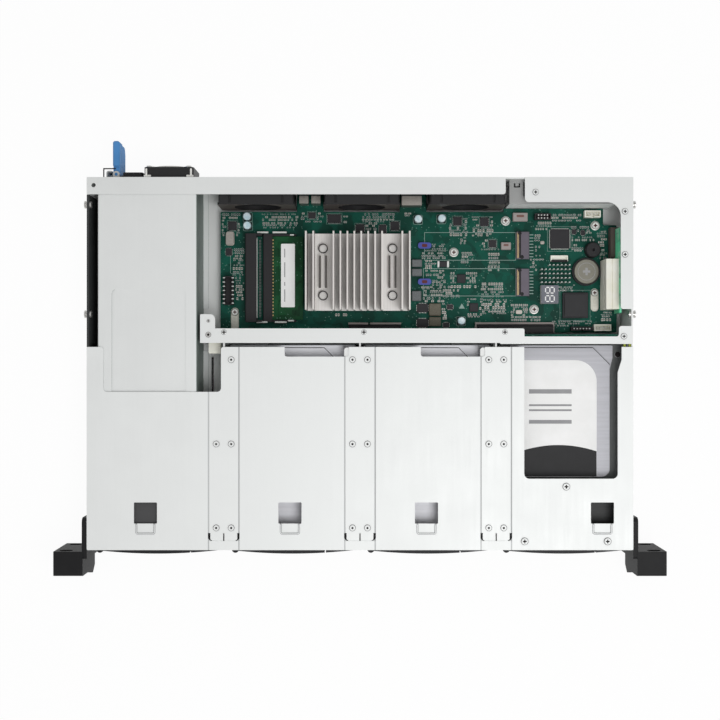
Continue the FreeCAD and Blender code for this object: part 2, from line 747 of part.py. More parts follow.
def pad_outline(x, y, room):
    """An oblong round a pad's screw, running forward from it."""
    half = PAD_SLOT_W / 2 + room
    rear = y + PAD_SCREW_END + room
    front = rear - PAD_SLOT_L - 2 * room
    front = max(front, BOARD_FRONT + 1.6)
    corner = half - 0.05
    return [(x - half, front, corner), (x + half, front, corner),
            (x + half, rear, corner), (x - half, rear, corner)]


def pin_places():
    return [(SINK_X + i * PIN_X, SINK_Y + j * PIN_Y) for i in (-1, 1) for j in (-1, 1)]


def make_mainboard():
    """Main board with tongues between the fans for the ports and a notch at its rear right corner."""
    port_edge = REAR - SHEET - 0.75
    slot_edge = REAR - SLOT_WALL_INSET - 0.4
    slot_left = fan_x(FANS - 1) + FAN_W / 2 + FAN_LIP + 1.4
    notch = from_rear(10.8)
    outline = [(BOARD_LEFT, BOARD_FRONT, 1), (BOARD_RIGHT, BOARD_FRONT, 1), (BOARD_RIGHT, notch, 1),
               (from_right(11), notch, 1), (from_right(11), slot_edge), (slot_left, slot_edge),
               (slot_left, BOARD_REAR)]
    for fan in (1, 0):
        left, right = tongue_edges(fan)
        outline += [(right, BOARD_REAR), (right, port_edge), (left, port_edge), (left, BOARD_REAR)]
    outline.append((BOARD_LEFT, BOARD_REAR, 1))
    board = prism(outline, "xy", BOARD_Z, BOARD_TOP)
    holes = [upright(SPACER_BORE_R, x, y, BOARD_Z, BOARD_TOP) for x, y in spacer_places()]
    holes += [upright(PIN_R + FIT, x, y, BOARD_Z, BOARD_TOP) for x, y in pin_places()]
    holes += [prism(pad_outline(x, y, 0), "xy", BOARD_Z, BOARD_TOP) for x, y in pad_places()]
    return board.cut(holes)


def make_board_spacers():
    """Six-sided spacers and two oblong pads on the base, bored for the screws that hold the board."""
    spacers = []
    for x, y in spacer_places():
        turns = [math.radians(60 * i) for i in range(6)]
        corners = [(x + SPACER_R * math.cos(turn), y + SPACER_R * math.sin(turn)) for turn in turns]
        spacer = prism(corners, "xy", SHEET, BOARD_Z)
        spacers.append(spacer.cut(upright(SPACER_BORE_R, x, y, SHEET + 2, BOARD_Z)))
    for x, y in pad_places():
        pad = prism(pad_outline(x, y, 1.0), "xy", SHEET, BOARD_Z)
        spacers.append(pad.cut(upright(SPACER_BORE_R, x, y, SHEET + 2, BOARD_Z)))
    return spacers


def fin_places():
    inner = [(i - (INNER_FINS - 1) / 2) * INNER_FIN_PITCH for i in range(INNER_FINS)]
    edge = SINK_W / 2 - FIN_T / 2
    return [-edge, -edge + EDGE_FIN_PITCH] + inner + [edge - EDGE_FIN_PITCH, edge]


def make_heatsink():
    """Extruded comb of fins, drilled for the push pins, with short low ribs between the pins."""
    floor = SINK_Z + SINK_BASE
    half = SINK_W / 2
    section = [(SINK_X - half, SINK_Z), (SINK_X + half, SINK_Z)]
    for x in reversed(fin_places()):
        right = SINK_X + x + FIN_T / 2
        section += [(right, floor), (right, SINK_TOP), (right - FIN_T, SINK_TOP), (right - FIN_T, floor)]
    del section[2]
    del section[-1]
    y0 = SINK_Y - SINK_D / 2
    comb = prism(section, "xz", y0, y0 + SINK_D)
    ribs = []
    for side in (-1, 1):
        for offset in (-2.4, 2.4):
            x = SINK_X + side * PIN_X + offset
            ribs.append(block(x - FIN_T / 2, x + FIN_T / 2, SINK_Y - RIB_L / 2, SINK_Y + RIB_L / 2,
                              floor, floor + RIB_H))
    holes = [upright(PIN_R + FIT, x, y, SINK_Z, floor) for x, y in pin_places()]
    return joined([comb] + ribs).cut(holes)


def make_heatsink_pins():
    """Push pins with a bevelled head, pressed through the heatsink into the board."""
    floor = SINK_Z + SINK_BASE
    pins = []
    for x, y in pin_places():
        head = upright(PIN_HEAD_R, x, y, floor, floor + 2.2)
        dome = Part.makeCone(PIN_HEAD_R, PIN_HEAD_R - 0.8, 0.8, Vector(x, y, floor + 2.2))
        pins.append(joined([head, dome, upright(PIN_R, x, y, BOARD_Z - 0.5, floor)]))
    return pins


def make_memory_sockets():
    """Two memory sockets, one low and one high, each with a slot and two end arms."""
    sockets = []
    y1 = from_rear(MEMORY_REAR)
    y0 = y1 - MEMORY_L
    for (offset, width, height, slot), arm in ((LOW_SOCKET, 19.0), (HIGH_SOCKET, 4.4)):
        x0 = from_left(offset)
        x1 = x0 + width
        section = [(x0, BOARD_TOP), (x1, BOARD_TOP), (x1, BOARD_TOP + slot), (x1 - 4, BOARD_TOP + slot),
                   (x1 - 4, BOARD_TOP + slot + 1.4), (x1, BOARD_TOP + slot + 1.4), (x1, BOARD_TOP + height),
                   (x0, BOARD_TOP + height, 1)]
        body = prism(section, "xz", y0, y1)
        arms = [block(x1, x1 + arm, y, y + 1.6, BOARD_TOP, BOARD_TOP + slot + 0.8) for y in (y0, y1 - 1.6)]
        sockets.append(joined([body] + arms))
    return sockets


def make_memory_module():
    """Memory card in the low socket, with its chips on top and a keying notch."""
    offset, width, height, slot = LOW_SOCKET
    x0 = from_left(offset) + width - 3.8
    y1 = from_rear(MEMORY_REAR) - 2.0
    y0 = y1 - MEMORY_L + 4.0
    z = BOARD_TOP + slot + 0.2
    card = rounded_block(x0, x0 + MEMORY_CARD_W, y0, y1, z, z + MEMORY_CARD_T, 0.8)
    card = card.cut(block(x0, x0 + 2, y0 + 24, y0 + 25.6, z, z + MEMORY_CARD_T))
    chips = []
    for i in range(4):
        y = y0 + 3.5 + i * 15.6
        chips.append(block(x0 + 9, x0 + 22, y, y + 12, z + MEMORY_CARD_T, z + MEMORY_CARD_T + 1.0))
    return joined([card] + chips)


def make_card_sockets():
    """Two edge sockets for storage cards that lie flat to the left."""
    sockets = []
    x1 = from_right(71.5)
    x0 = x1 - 10.5
    low = BOARD_TOP + 1.6
    for offset in (16.6, 46.6):
        section = [(x0, BOARD_TOP), (x1, BOARD_TOP), (x1, BOARD_TOP + 4.2, 1), (x0, BOARD_TOP + 4.2),
                   (x0, low + 1.2), (x0 + 4, low + 1.2), (x0 + 4, low), (x0, low)]
        y1 = from_rear(offset)
        sockets.append(prism(section, "xz", y1 - CARD_SOCKET_L, y1))
    return sockets


def coin_place():
    return from_right(25.4), from_rear(48.9)


def make_coin_cell():
    x, y = coin_place()
    cell = upright(COIN_R, x, y, BOARD_TOP + COIN_LIFT, BOARD_TOP + COIN_LIFT + COIN_T)
    return cell.makeChamfer(0.4, [edge for edge in cell.Edges if len(edge.Vertexes) == 1])


def make_buzzer():
    """Round sounder with a sound hole and a stepped rim."""
    x = from_right(20.3)
    y = from_rear(31.4)
    base = upright(6.2, x, y, BOARD_TOP, BOARD_TOP + 6.5)
    cap = Part.makeCone(6.2, 5.4, 1.2, Vector(x, y, BOARD_TOP + 6.5))
    return base.fuse(cap).cut(upright(1.2, x, y, BOARD_TOP + 5, BOARD_TOP + 8))


def make_capacitors():
    """Can capacitors, each on a chamfered square foot, with a groove round the can."""
    places = [(from_left(22.1), from_rear(4.3)), (from_left(22.3), from_rear(11.6)),
              (from_left(160.8), from_rear(6.4)), (from_left(179.8), from_rear(5.9)),
              (from_left(195.8), from_rear(89.0))]
    radius = 3.1
    cans = []
    for x, y in places:
        foot = rounded_block(x - 3.2, x + 3.2, y - 3.2, y + 3.2, BOARD_TOP, BOARD_TOP + 0.9, 1.2)
        wall = [(0, 0.9), (radius, 0.9), (radius, 1.8), (radius - 0.4, 2.2), (radius, 2.6),
                (radius, 7.6), (radius - 0.5, 8.0), (0, 8.0)]
        points = [Vector(x + r, y, BOARD_TOP + h) for r, h in wall]
        face = Part.Face(Part.makePolygon(points + points[:1]))
        cans.append(foot.fuse(face.revolve(Vector(x, y, 0), Vector(0, 0, 1), 360)))
    return cans


def make_inductors():
    """Moulded power inductors."""
    places = [(159.8, 42.0, 8.2, 6.0), (159.8, 49.5, 8.2, 6.0), (159.5, 68.6, 7.6, 8.2),
              (174.5, 79.7, 9.8, 10.0), (174.5, 89.4, 9.8, 7.4)]
    coils = []
    for x, y, width, depth in places:
        x0 = from_left(x) - width / 2
        y0 = from_rear(y) - depth / 2
        body = rounded_block(x0, x0 + width, y0, y0 + depth, BOARD_TOP, BOARD_TOP + 4, 0.8)
        rim = [edge for edge in body.Edges if edge.BoundBox.ZMin > BOARD_TOP + 3.9]
        coils.append(body.makeChamfer(0.5, rim))
    return coils


def make_chips():
    """The processor under the heatsink and the larger packages on the board."""
    half = PROCESSOR_W / 2
    substrate = rounded_block(SINK_X - half, SINK_X + half, SINK_Y - half, SINK_Y + half,
                              BOARD_TOP, BOARD_TOP + 1.2, 0.5)
    lid = rounded_block(SINK_X - half + 4, SINK_X + half - 4, SINK_Y - half + 4, SINK_Y + half - 4,
                        BOARD_TOP + 1.2, SINK_Z, 1.5)
    packages = [substrate.fuse(lid)]
    places = [(46.3, 22.0, 15.6, 1.4), (33.8, 76.1, 20.8, 2.0),
              (126.5, 54.4, 7.0, 1.2), (116.3, 77.8, 7.0, 1.2)]
    for x, y, width, height in places:
        x0 = from_right(x) - width / 2
        y0 = from_rear(y) - width / 2
        body = rounded_block(x0, x0 + width, y0, y0 + width, BOARD_TOP, BOARD_TOP + height, 0.4)
        rim = [edge for edge in body.Edges if edge.BoundBox.ZMin > BOARD_TOP + height - 0.1]
        packages.append(body.makeChamfer(0.3, rim))
    return packages


def make_segment_display():
    """Two-digit display on the board, with a shallow window."""
    x0 = from_right(62.3)
    y0 = from_rear(74.9)
    body = rounded_block(x0, x0 + 13.9, y0, y0 + 14.8, BOARD_TOP, BOARD_TOP + 7, 0.3)
    window = block(x0 + 0.8, x0 + 13.1, y0 + 0.8, y0 + 14.0, BOARD_TOP + 6.7, BOARD_TOP + 7)
    return body.cut(window)


def shrouded_header(x0, x1, y0, y1, height):
    """An open-topped connector housing with walls all round and a key slot on its front side."""
    body = block(x0, x1, y0, y1, BOARD_TOP, BOARD_TOP + height)
    well = block(x0 + 0.9, x1 - 0.9, y0 + 0.9, y1 - 0.9, BOARD_TOP + 1.5, BOARD_TOP + height)
    middle = (x0 + x1) / 2
    key = block(middle - 1.2, middle + 1.2, y0, y0 + 0.9, BOARD_TOP + 2.5, BOARD_TOP + height)
    return body.cut([well, key])


def make_board_connectors():
    """Black connectors: headers, the links to the backplane, the riser slot and the coin cell holder."""
    rear = from_rear(0)
    face = BACKPLANE_Y + BOARD_T + GAP
    pieces = [
        shrouded_header(from_left(3.4), from_left(11.0), rear - 75.9, rear - 52.9, 8),
        shrouded_header(from_right(67.4), from_right(54.1), rear - 6.8, rear - 1.9, 6),
        shrouded_header(from_right(38.0), from_right(20.6), face + 3.3, face + 6.4, 6)]
    drop = face + SHEET + GAP
    links = [(from_left(104.6), from_left(146.6), 7.0), (from_right(114.0), from_right(53.0), 10.0)]
    for x0, x1, height in links:
        section = [(drop, BOARD_TOP), (drop + 6.6, BOARD_TOP), (drop + 6.6, BOARD_TOP + height - 2),
                   (drop + 4.6, BOARD_TOP + height), (drop, BOARD_TOP + height)]
        pieces.append(prism(section, "yz", x0, x1))
    x = from_right(RISER_X)
    y1 = from_rear(RISER_REAR)
    slot = block(x - 4.6, x + 2.0, y1 - RISER_SLOT_L, y1 + 1.5, BOARD_TOP, BOARD_TOP + 10)
    pieces.append(slot.cut(block(x - RISER_T / 2 - 0.2, x + RISER_T / 2 + 0.2, y1 - RISER_SLOT_L, y1 + 0.3,
                                 BOARD_TOP + 3, BOARD_TOP + 10)))
    cx, cy = coin_place()
    cup = upright(COIN_R + 1.3, cx, cy, BOARD_TOP, BOARD_TOP + COIN_LIFT + 1.6)
    cup = cup.cut(upright(COIN_R + 0.2, cx, cy, BOARD_TOP + COIN_LIFT, BOARD_TOP + 8))
    pieces.append(cup.cut(block(cx - 3, cx + 3, cy - 14, cy - 7, BOARD_TOP + COIN_LIFT, BOARD_TOP + 8)))
    return pieces


def make_riser_card():
    """Upright card in the riser slot; its front part, above the board, carries the expansion socket."""
    x = from_right(RISER_X)
    y1 = from_rear(RISER_REAR)
    y0 = y1 - RISER_L
    step = y1 - RISER_SLOT_L + 0.5
    low = BOARD_TOP + 3.2
    profile = [(y0, low + 2, 1), (step, low + 2), (step, low), (y1, low),
               (y1, RISER_TOP, 1), (y0, RISER_TOP, 1)]
    return prism(profile, "yz", x - RISER_T / 2, x + RISER_T / 2)


def make_white_connectors():
    """Pale connectors: the expansion socket, the backplane plug, a ribbon socket and two wire sockets."""
    rear = from_rear(0)
    y0 = rear - 80.1
    x1 = from_right(RISER_X) - RISER_T / 2
    x0 = x1 - EXPANSION_SOCKET_W
    top = BOARD_TOP + 24
    section = [(x0, BOARD_TOP + 0.4), (x1, BOARD_TOP + 0.4), (x1, top), (x1 - 5.2, top),
               (x1 - 5.2, top - 0.8), (x1 - 6.0, top - 0.8), (x1 - 6.0, top), (x0, top, 0.8),
               (x0, BOARD_TOP + 17), (x0 + 6, BOARD_TOP + 17),
               (x0 + 6, BOARD_TOP + 15), (x0, BOARD_TOP + 15)]
    expansion = prism(section, "xz", y0, y0 + EXPANSION_SOCKET_L)
    left = PSU_CAGE_RIGHT + 8.0
    plug = rounded_block(left, left + 9.5, BACKPLANE_Y - 13.5, BACKPLANE_Y, 22, 32, 0.8)
    ribbon = shrouded_header(from_right(54.1), from_right(40.2), rear - 40.4, rear - 35.7, 3.4)
    upper = shrouded_header(from_right(27.0), from_right(14.0), rear - 5.0, rear + 0.5, 6)
    lower = shrouded_header(from_right(19.2), from_right(5.5), BOARD_FRONT + 1.2, BOARD_FRONT + 6.5, 6)
    return [expansion, plug, ribbon, upper, lower]


def make_io_ports():
    """Metal-shelled rear ports, open to the rear, each with its contact tongue."""
    ports = []
    for left, width, height, depth in port_places():
        y1 = REAR + PORT_PROUD
        shell = block(left, left + width, y1 - depth, y1, BOARD_TOP, BOARD_TOP + height)
        cavity = block(left + PORT_WALL, left + width - PORT_WALL, y1 - 12.5, y1,
                       BOARD_TOP + PORT_WALL, BOARD_TOP + height - PORT_WALL)
        port = shell.cut(cavity)
        if width == USB_W:
            tongue = block(left + PORT_WALL, left + PORT_WALL + 0.9, y1 - 12.5, y1 - 3,
                           BOARD_TOP + 2, BOARD_TOP + height - 2)
        else:
            tongue = block(left + 3.4, left + width - 3.4, y1 - 12.5, y1 - 4,
                           BOARD_TOP + height - PORT_WALL - 2.2, BOARD_TOP + height - PORT_WALL)
        ports.append(joined([port, tongue]))
    return ports


def make_backplane():
    """Upright board behind the drives, with an air opening for each drive bay."""
    left = PSU_CAGE_RIGHT + 6.5
    right = RIGHT - SHEET - SHEET - 0.8
    y0 = BACKPLANE_Y
    board = block(left, right, y0, y0 + BOARD_T, BACKPLANE_Z, BACKPLANE_TOP)
    vents = []
    for bay in range(1, BAYS):
        for side in (-1, 1):
            x = bay_x(bay) + side * 23
            outline = [(x - 18, 20, 2), (x + 18, 20, 2), (x + 18, 31, 2), (x - 18, 31, 2)]
            vents.append(prism(outline, "xz", y0, y0 + BOARD_T))
    return board.cut(vents)


def make_dock_sockets():
    """Drive sockets on the backplane and the power supply's docking block."""
    sockets = []
    for bay in range(1, BAYS):
        x = bay_x(bay)
        section = [(BACKPLANE_Y - SOCKET_D, 6), (BACKPLANE_Y, 6), (BACKPLANE_Y, 13), (BACKPLANE_Y - 3, 13),
                   (BACKPLANE_Y - 3, 10.5), (BACKPLANE_Y - SOCKET_D, 10.5)]
        sockets.append(prism(section, "yz", x - SOCKET_W / 2, x + SOCKET_W / 2))
    y0 = PSU_CAGE_FRONT + SHEET
    middle = PSU_Z + PSU_H / 2
    dock = block(PSU_X - DOCK_W / 2, PSU_X + DOCK_W / 2, y0, y0 + DOCK_D,
                 middle - DOCK_H / 2, middle + DOCK_H / 2)
    half_w = TONGUE_W / 2 + GAP
    half_t = TONGUE_T / 2 + GAP
    slot = block(PSU_X - half_w, PSU_X + half_w, PSU_FRONT - TONGUE_L - GAP, PSU_FRONT,
                 middle - half_t, middle + half_t)
    sockets.append(dock.cut(slot))
    return sockets


def blade(radius_root, radius_tip, root, tip, middle):
    """One twisted fan blade about the Y axis: a loft from a steep root section to a flatter tip."""
    sections = []
    for radius, (chord, thickness, angle) in ((radius_root, root), (radius_tip, tip)):
        lean = math.radians(angle)
        along = Vector(math.sin(lean), math.cos(lean), 0) * (chord / 2)
        across = Vector(math.cos(lean), -math.sin(lean), 0) * (thickness / 2)
        centre = Vector(0, middle, radius)
        corners = [centre - along - across, centre + along - across,
                   centre + along + across, centre - along + across]
        sections.append(Part.makePolygon(corners + corners[:1]))
    return Part.makeLoft(sections, True, True)


def make_rotor(x, z, front, rear, hub_r, tip_r, shaft_end):
    """Fan rotor on the Y axis: a hub with a rounded front, blades, and a shaft towards the stator."""
    hub = rod(hub_r, Vector(0, front, 0), "xz", rear - front)
    hub = hub.makeFillet(1.2, [edge for edge in hub.Edges if edge.BoundBox.YMax < front + 0.1])
    y0, y1 = sorted((shaft_end, (front + rear) / 2))
    shaft = rod(SHAFT_R, Vector(0, y0, 0), "xz", y1 - y0)
    length = rear - front - 2.4
    root = (length / 0.75, 1.3, 41)
    tip = (length / 0.84, 0.9, 33)
    one = blade(hub_r - 0.7, tip_r - 0.6, root, tip, (front + rear) / 2)
    blades = []
    for i in range(BLADES):
        turned = one.copy()
        turned.rotate(Vector(0, 0, 0), Vector(0, 1, 0), 360.0 * i / BLADES)
        blades.append(turned)
    rotor = hub.multiFuse([shaft] + blades)
    rotor.translate(Vector(x, 0, z))
    return rotor


def stator(x, z, y0, y1, outer, hub_r):
    """Motor base on four arms inside a fan tunnel, bored for the rotor's shaft."""
    arms = [rod(hub_r, Vector(x, y0, z), "xz", y1 - y0)]
    for i in range(2):
        half_w = 1.1
        long_x = outer if i == 0 else half_w
        long_z = half_w if i == 0 else outer
        arms.append(block(x - long_x, x + long_x, y0, y1, z - long_z, z + long_z))
    return joined(arms).cut(rod(SHAFT_R + FIT, Vector(x, y0, z), "xz", y1 - y0))


def make_fan_frame(fan):
    """Fan carrier: a body with side wings, a front lip, a round tunnel and the motor base."""
    x = fan_x(fan)
    half = FAN_W / 2
    z0 = FAN_Z - FAN_H / 2
    z1 = FAN_Z + FAN_H / 2
    body_section = [(x - half, z0, 1.5), (x + half, z0, 1.5), (x + half, z1, 1.5)]
    for side in (1, -1):
        groove = x + side * FAN_GROOVE
        body_section += [(groove + 1, z1), (groove + 1, z1 - 1.4), (groove - 1, z1 - 1.4), (groove - 1, z1)]
    body_section.append((x - half, z1, 1.5))
    body = prism(body_section, "xz", FAN_FRONT + FAN_LIP_D, FAN_REAR)
    wide = half + FAN_LIP
    lip_section = [(x - wide, z0, 3), (x + wide, z0, 3), (x + wide, z1, 3), (x - wide, z1, 3)]
    lip = prism(lip_section, "xz", FAN_FRONT, FAN_FRONT + FAN_LIP_D)
    tunnel = rod(FAN_R, Vector(x, FAN_FRONT, FAN_Z), "xz", FAN_D)
    pockets = []
    for side in (-1, 1):
        x0, x1 = sorted((x + side * (FAN_GROOVE + 2.2), x + side * (half - 1.6)))
        corner = min(1, 0.45 * (x1 - x0))
        outline = [(x0, z0 + 2, corner), (x1, z0 + 2, corner),
                   (x1, z1 - 2.4, corner), (x0, z1 - 2.4, corner)]
        pockets.append(prism(outline, "xz", FAN_FRONT + FAN_LIP_D + 2, FAN_REAR))
    shell = joined([body, lip]).cut([tunnel] + pockets)
    motor = stator(x, FAN_Z, FAN_REAR - STATOR_D, FAN_REAR, FAN_R, STATOR_R)
    return joined([shell, motor])


def make_fan_rotor(fan):
    rear = FAN_REAR - STATOR_D - 0.8
    return make_rotor(fan_x(fan), FAN_Z, FAN_FRONT + 2.6, rear, HUB_R, FAN_R - BLADE_TIP_GAP, FAN_REAR - 0.4)


def make_psu_case():
    """Power supply module: a closed case with pockets for fan and inlet, an edge tongue and latch ears."""
    case = rounded_block(PSU_LEFT, PSU_RIGHT, PSU_FRONT, PSU_REAR, PSU_Z, PSU_TOP, 0.8)
    middle = PSU_Z + PSU_H / 2
    tongue = block(PSU_X - TONGUE_W / 2, PSU_X + TONGUE_W / 2, PSU_FRONT - TONGUE_L, PSU_FRONT + 1,
                   middle - TONGUE_T / 2, middle + TONGUE_T / 2)
    lugs = []
    for z0 in (LATCH_Z - 2.3, LATCH_Z + LATCH_H + GAP):
        plan = [(LATCH_X - 2.6, PSU_REAR - 0.5), (LATCH_X + 2.6, PSU_REAR - 0.5),
                (LATCH_X + 2.6, LATCH_Y + 2.6, 2.4), (LATCH_X - 2.6, LATCH_Y + 2.6, 2.4)]
        lug = prism(plan, "xy", z0, z0 + 2)
        lugs.append(lug.cut(upright(LATCH_PIN_R + FIT, LATCH_X, LATCH_Y, z0, z0 + 2)))
    guard_x = LATCH_X - LATCH_T / 2 - 5.6
    plan = [(guard_x, PSU_REAR - 0.5), (guard_x, PSU_REAR + 6.2, 1.6), (guard_x + 4.2, PSU_REAR + 6.2),
            (guard_x + 4.2, PSU_REAR + 5.2), (guard_x + 1, PSU_REAR + 5.2, 0.6),
            (guard_x + 1, PSU_REAR - 0.5)]
    guard = prism(plan, "xy", LATCH_Z, LATCH_Z + LATCH_H)
    pocket_r = PSU_FAN_R + PSU_FAN_TUBE + 0.2
    depth = PSU_FAN_DEPTH + 0.4
    pockets = [rod(pocket_r, Vector(PSU_FAN_X, PSU_REAR - depth, PSU_FAN_Z), "xz", depth)]
    half_w = INLET_W / 2 - 0.8
    half_h = INLET_H / 2 - 0.8
    pockets.append(block(INLET_X - half_w, INLET_X + half_w, PSU_REAR - INLET_D, PSU_REAR,
                         PSU_FAN_Z - half_h, PSU_FAN_Z + half_h))
    return joined([case, tongue, guard] + lugs).cut(pockets)


def make_psu_inlet():
    """Appliance inlet: a flanged shroud with a chamfered well and three contact blades."""
    half_w = INLET_W / 2
    half_h = INLET_H / 2
    face = PSU_REAR + INLET_PROUD
    flange = [(INLET_X - half_w, PSU_FAN_Z - half_h, 2), (INLET_X + half_w, PSU_FAN_Z - half_h, 2),
              (INLET_X + half_w, PSU_FAN_Z + half_h, 2), (INLET_X - half_w, PSU_FAN_Z + half_h, 2)]
    body_w = half_w - 1.0
    body_h = half_h - 1.0
    body = [(INLET_X - body_w, PSU_FAN_Z - body_h, 2), (INLET_X + body_w, PSU_FAN_Z - body_h, 2),
            (INLET_X + body_w, PSU_FAN_Z + body_h, 2), (INLET_X - body_w, PSU_FAN_Z + body_h, 2)]
    well_w = INLET_CAVITY_W / 2
    well_h = INLET_CAVITY_H / 2
    well = [(INLET_X - well_w, PSU_FAN_Z - well_h), (INLET_X + well_w - 4, PSU_FAN_Z - well_h),
            (INLET_X + well_w, PSU_FAN_Z - well_h + 4), (INLET_X + well_w, PSU_FAN_Z + well_h - 4),
            (INLET_X + well_w - 4, PSU_FAN_Z + well_h), (INLET_X - well_w, PSU_FAN_Z + well_h)]
    floor = PSU_REAR - INLET_D + 3
    shroud = joined([prism(flange, "xz", PSU_REAR, PSU_REAR + INLET_FLANGE),
                     prism(body, "xz", PSU_REAR - INLET_D + 0.4, face)])
    shroud = shroud.cut(prism(well, "xz", floor, face))
    blades = []
    for x, z in ((-3.4, -7.0), (-3.4, 7.0), (0.4, 0.0)):
        blades.append(block(INLET_X + x - 1, INLET_X + x + 1, floor - 0.5, floor + 11,
                            PSU_FAN_Z + z - 2, PSU_FAN_Z + z + 2))
    return joined([shroud] + blades)


def make_psu_fan_frame():
    """Square fan frame outside the case, with a tube that reaches in and carries the motor base."""
    half_w = PSU_FAN_W / 2
    half_h = PSU_FAN_H / 2
    x = PSU_FAN_X
    z = PSU_FAN_Z
    section = [(x - half_w, z - half_h, 3), (x + half_w, z - half_h, 3),
               (x + half_w, z + half_h, 3), (x - half_w, z + half_h, 3)]
    face = prism(section, "xz", PSU_REAR, PSU_REAR + PSU_FAN_D)
    inner = PSU_REAR - PSU_FAN_DEPTH
    tube = rod(PSU_FAN_R + PSU_FAN_TUBE, Vector(x, inner, z), "xz", PSU_FAN_DEPTH)
    tunnel = rod(PSU_FAN_R, Vector(x, inner, z), "xz", PSU_FAN_DEPTH + PSU_FAN_D)
    shell = joined([face, tube]).cut(tunnel)
    motor = stator(x, z, inner, inner + STATOR_D, PSU_FAN_R, STATOR_R - 1)
    return joined([shell, motor])


def make_psu_fan_guard():
    """Finger guard: flat rings on two crossed bars that reach the frame's corners."""
    x = PSU_FAN_X
    z = PSU_FAN_Z
    y0 = PSU_REAR + PSU_FAN_D
    thickness = 1.1
    pieces = []
    for outer in (16.6, 11.6, 6.6):
        ring = rod(outer, Vector(x, y0, z), "xz", thickness)
        pieces.append(ring.cut(rod(outer - 1.2, Vector(x, y0, z), "xz", thickness)))
    reach = PSU_FAN_H / 2 * math.sqrt(2) - 3.6
    for angle in (45, 135):
        bar = block(-reach, reach, y0, y0 + thickness, -0.7, 0.7)
        for side in (-1, 1):
            bar = bar.fuse(rod(2.0, Vector(side * reach, y0, 0), "xz", thickness))
        bar.rotate(Vector(0, 0, 0), Vector(0, 1, 0), angle)
        bar.translate(Vector(x, 0, z))
        pieces.append(bar)
    return joined(pieces)


def make_psu_fan_rotor():
    inner = PSU_REAR - PSU_FAN_DEPTH
    front = inner + STATOR_D + 0.8
    rear = PSU_REAR + PSU_FAN_D - 3.4
    return make_rotor(PSU_FAN_X, PSU_FAN_Z, front, rear, HUB_R - 1.5, PSU_FAN_R - BLADE_TIP_GAP, inner + 0.4)


def make_psu_latch():
    """Release latch of the power supply: a tall thumb plate on an upright pin."""
    z0 = LATCH_Z
    z1 = LATCH_Z + LATCH_H
    tip = LATCH_Y + LATCH_L
    half = LATCH_T / 2
    plan = [(LATCH_X - half, LATCH_Y), (LATCH_X + half, LATCH_Y), (LATCH_X + half, tip, 2.4),
            (LATCH_X - half, tip, 2.4)]
    side = [(LATCH_Y - 1, z0), (tip - 7, z0), (tip, z0 + 3, 5),
            (tip, z1 - 3, 5), (tip - 7, z1), (LATCH_Y - 1, z1)]
    plate = prism(plan, "xy", z0, z1).common(prism(side, "yz", LATCH_X - half, LATCH_X + half))
    barrel = upright(LATCH_BARREL_R, LATCH_X, LATCH_Y, z0, z1)
    pin = upright(LATCH_PIN_R, LATCH_X, LATCH_Y, z0 - 2, z1 + 2)
    return joined([plate, barrel, pin])


def bulge(x):
    """How far the front of a tray stands out from the chassis front, across the bay."""
    span = TRAY_HALF - BUTTON_INSET
    return FRONT - FRONT_STAND_OFF - FRONT_BULGE * (1 - (x / span) ** 2)


def button_edges():
    right = TRAY_HALF - BUTTON_INSET
    return right - BUTTON_W, right


def pin_place():
    return -TRAY_HALF + LEVER_PIN_INSET, PIN_AXIS_Y


def vent_places():
    right = button_edges()[0] - 7.0
    return [right - i * VENT_PITCH for i in range(VENT_COUNT)]


def bulged_bar(x0, x1, back, z0, z1):
    """A bar whose front follows the bulge and whose back is flat."""
    middle = (x0 + x1) / 2
    front = Part.Arc(spot("xy", x1, bulge(x1), z0), spot("xy", middle, bulge(middle), z0),
                     spot("xy", x0, bulge(x0), z0)).toShape()
    corners = [spot("xy", x0, bulge(x0), z0), spot("xy", x0, back, z0),
               spot("xy", x1, back, z0), spot("xy", x1, bulge(x1), z0)]
    edges = [Part.LineSegment(a, b).toShape() for a, b in zip(corners, corners[1:])]
    return Part.Face(Part.Wire(edges + [front])).extrude(DEPTH["xy"] * (z1 - z0))


def make_bezel():
    """Hollow front of a tray, with vent slots, lever lugs and the button's opening."""
    half = TRAY_HALF
    top = BEZEL_TOP
    shell = rounded_block(-half, half, BEZEL_FRONT, BEZEL_REAR, TRAY_Z, top, 1)
    hollow = block(-half + BEZEL_SKIN, half - BEZEL_SKIN, BEZEL_FRONT + BEZEL_WALL, BEZEL_REAR + 1,
                   TRAY_Z + BEZEL_SKIN, top - BEZEL_SKIN)
    px, py = pin_place()
    lugs = []
    for z0 in (LEVER_Z - GAP - LEVER_LUG_H, LEVER_TOP + GAP):
        lug = block(px - 2.8, px + 2.8, py, BEZEL_FRONT + 0.5, z0, z0 + LEVER_LUG_H)
        lugs.append(lug.fuse(upright(2.8, px, py, z0, z0 + LEVER_LUG_H)))
    x0, x1 = button_edges()
    room = 0.35
    tools = [hollow, upright(LEVER_BARREL_R + 0.5, px, py, LEVER_Z - GAP, LEVER_TOP + GAP),
             upright(LEVER_PIN_R + FIT, px, py, LEVER_Z - GAP - LEVER_LUG_H, LEVER_TOP + GAP + LEVER_LUG_H),
             block(x0 - room, x1 + room, BEZEL_FRONT - 1, BEZEL_FRONT + BEZEL_WALL + 1,
                   LEVER_Z - room, LEVER_TOP + room)]
    for x in vent_places():
        tools.append(block(x - VENT_W / 2, x + VENT_W / 2, BEZEL_FRONT - 1, BEZEL_FRONT + BEZEL_WALL + 1,
                           TRAY_Z + 4.8, top - 4.8))
    return joined([shell] + lugs).cut(tools)


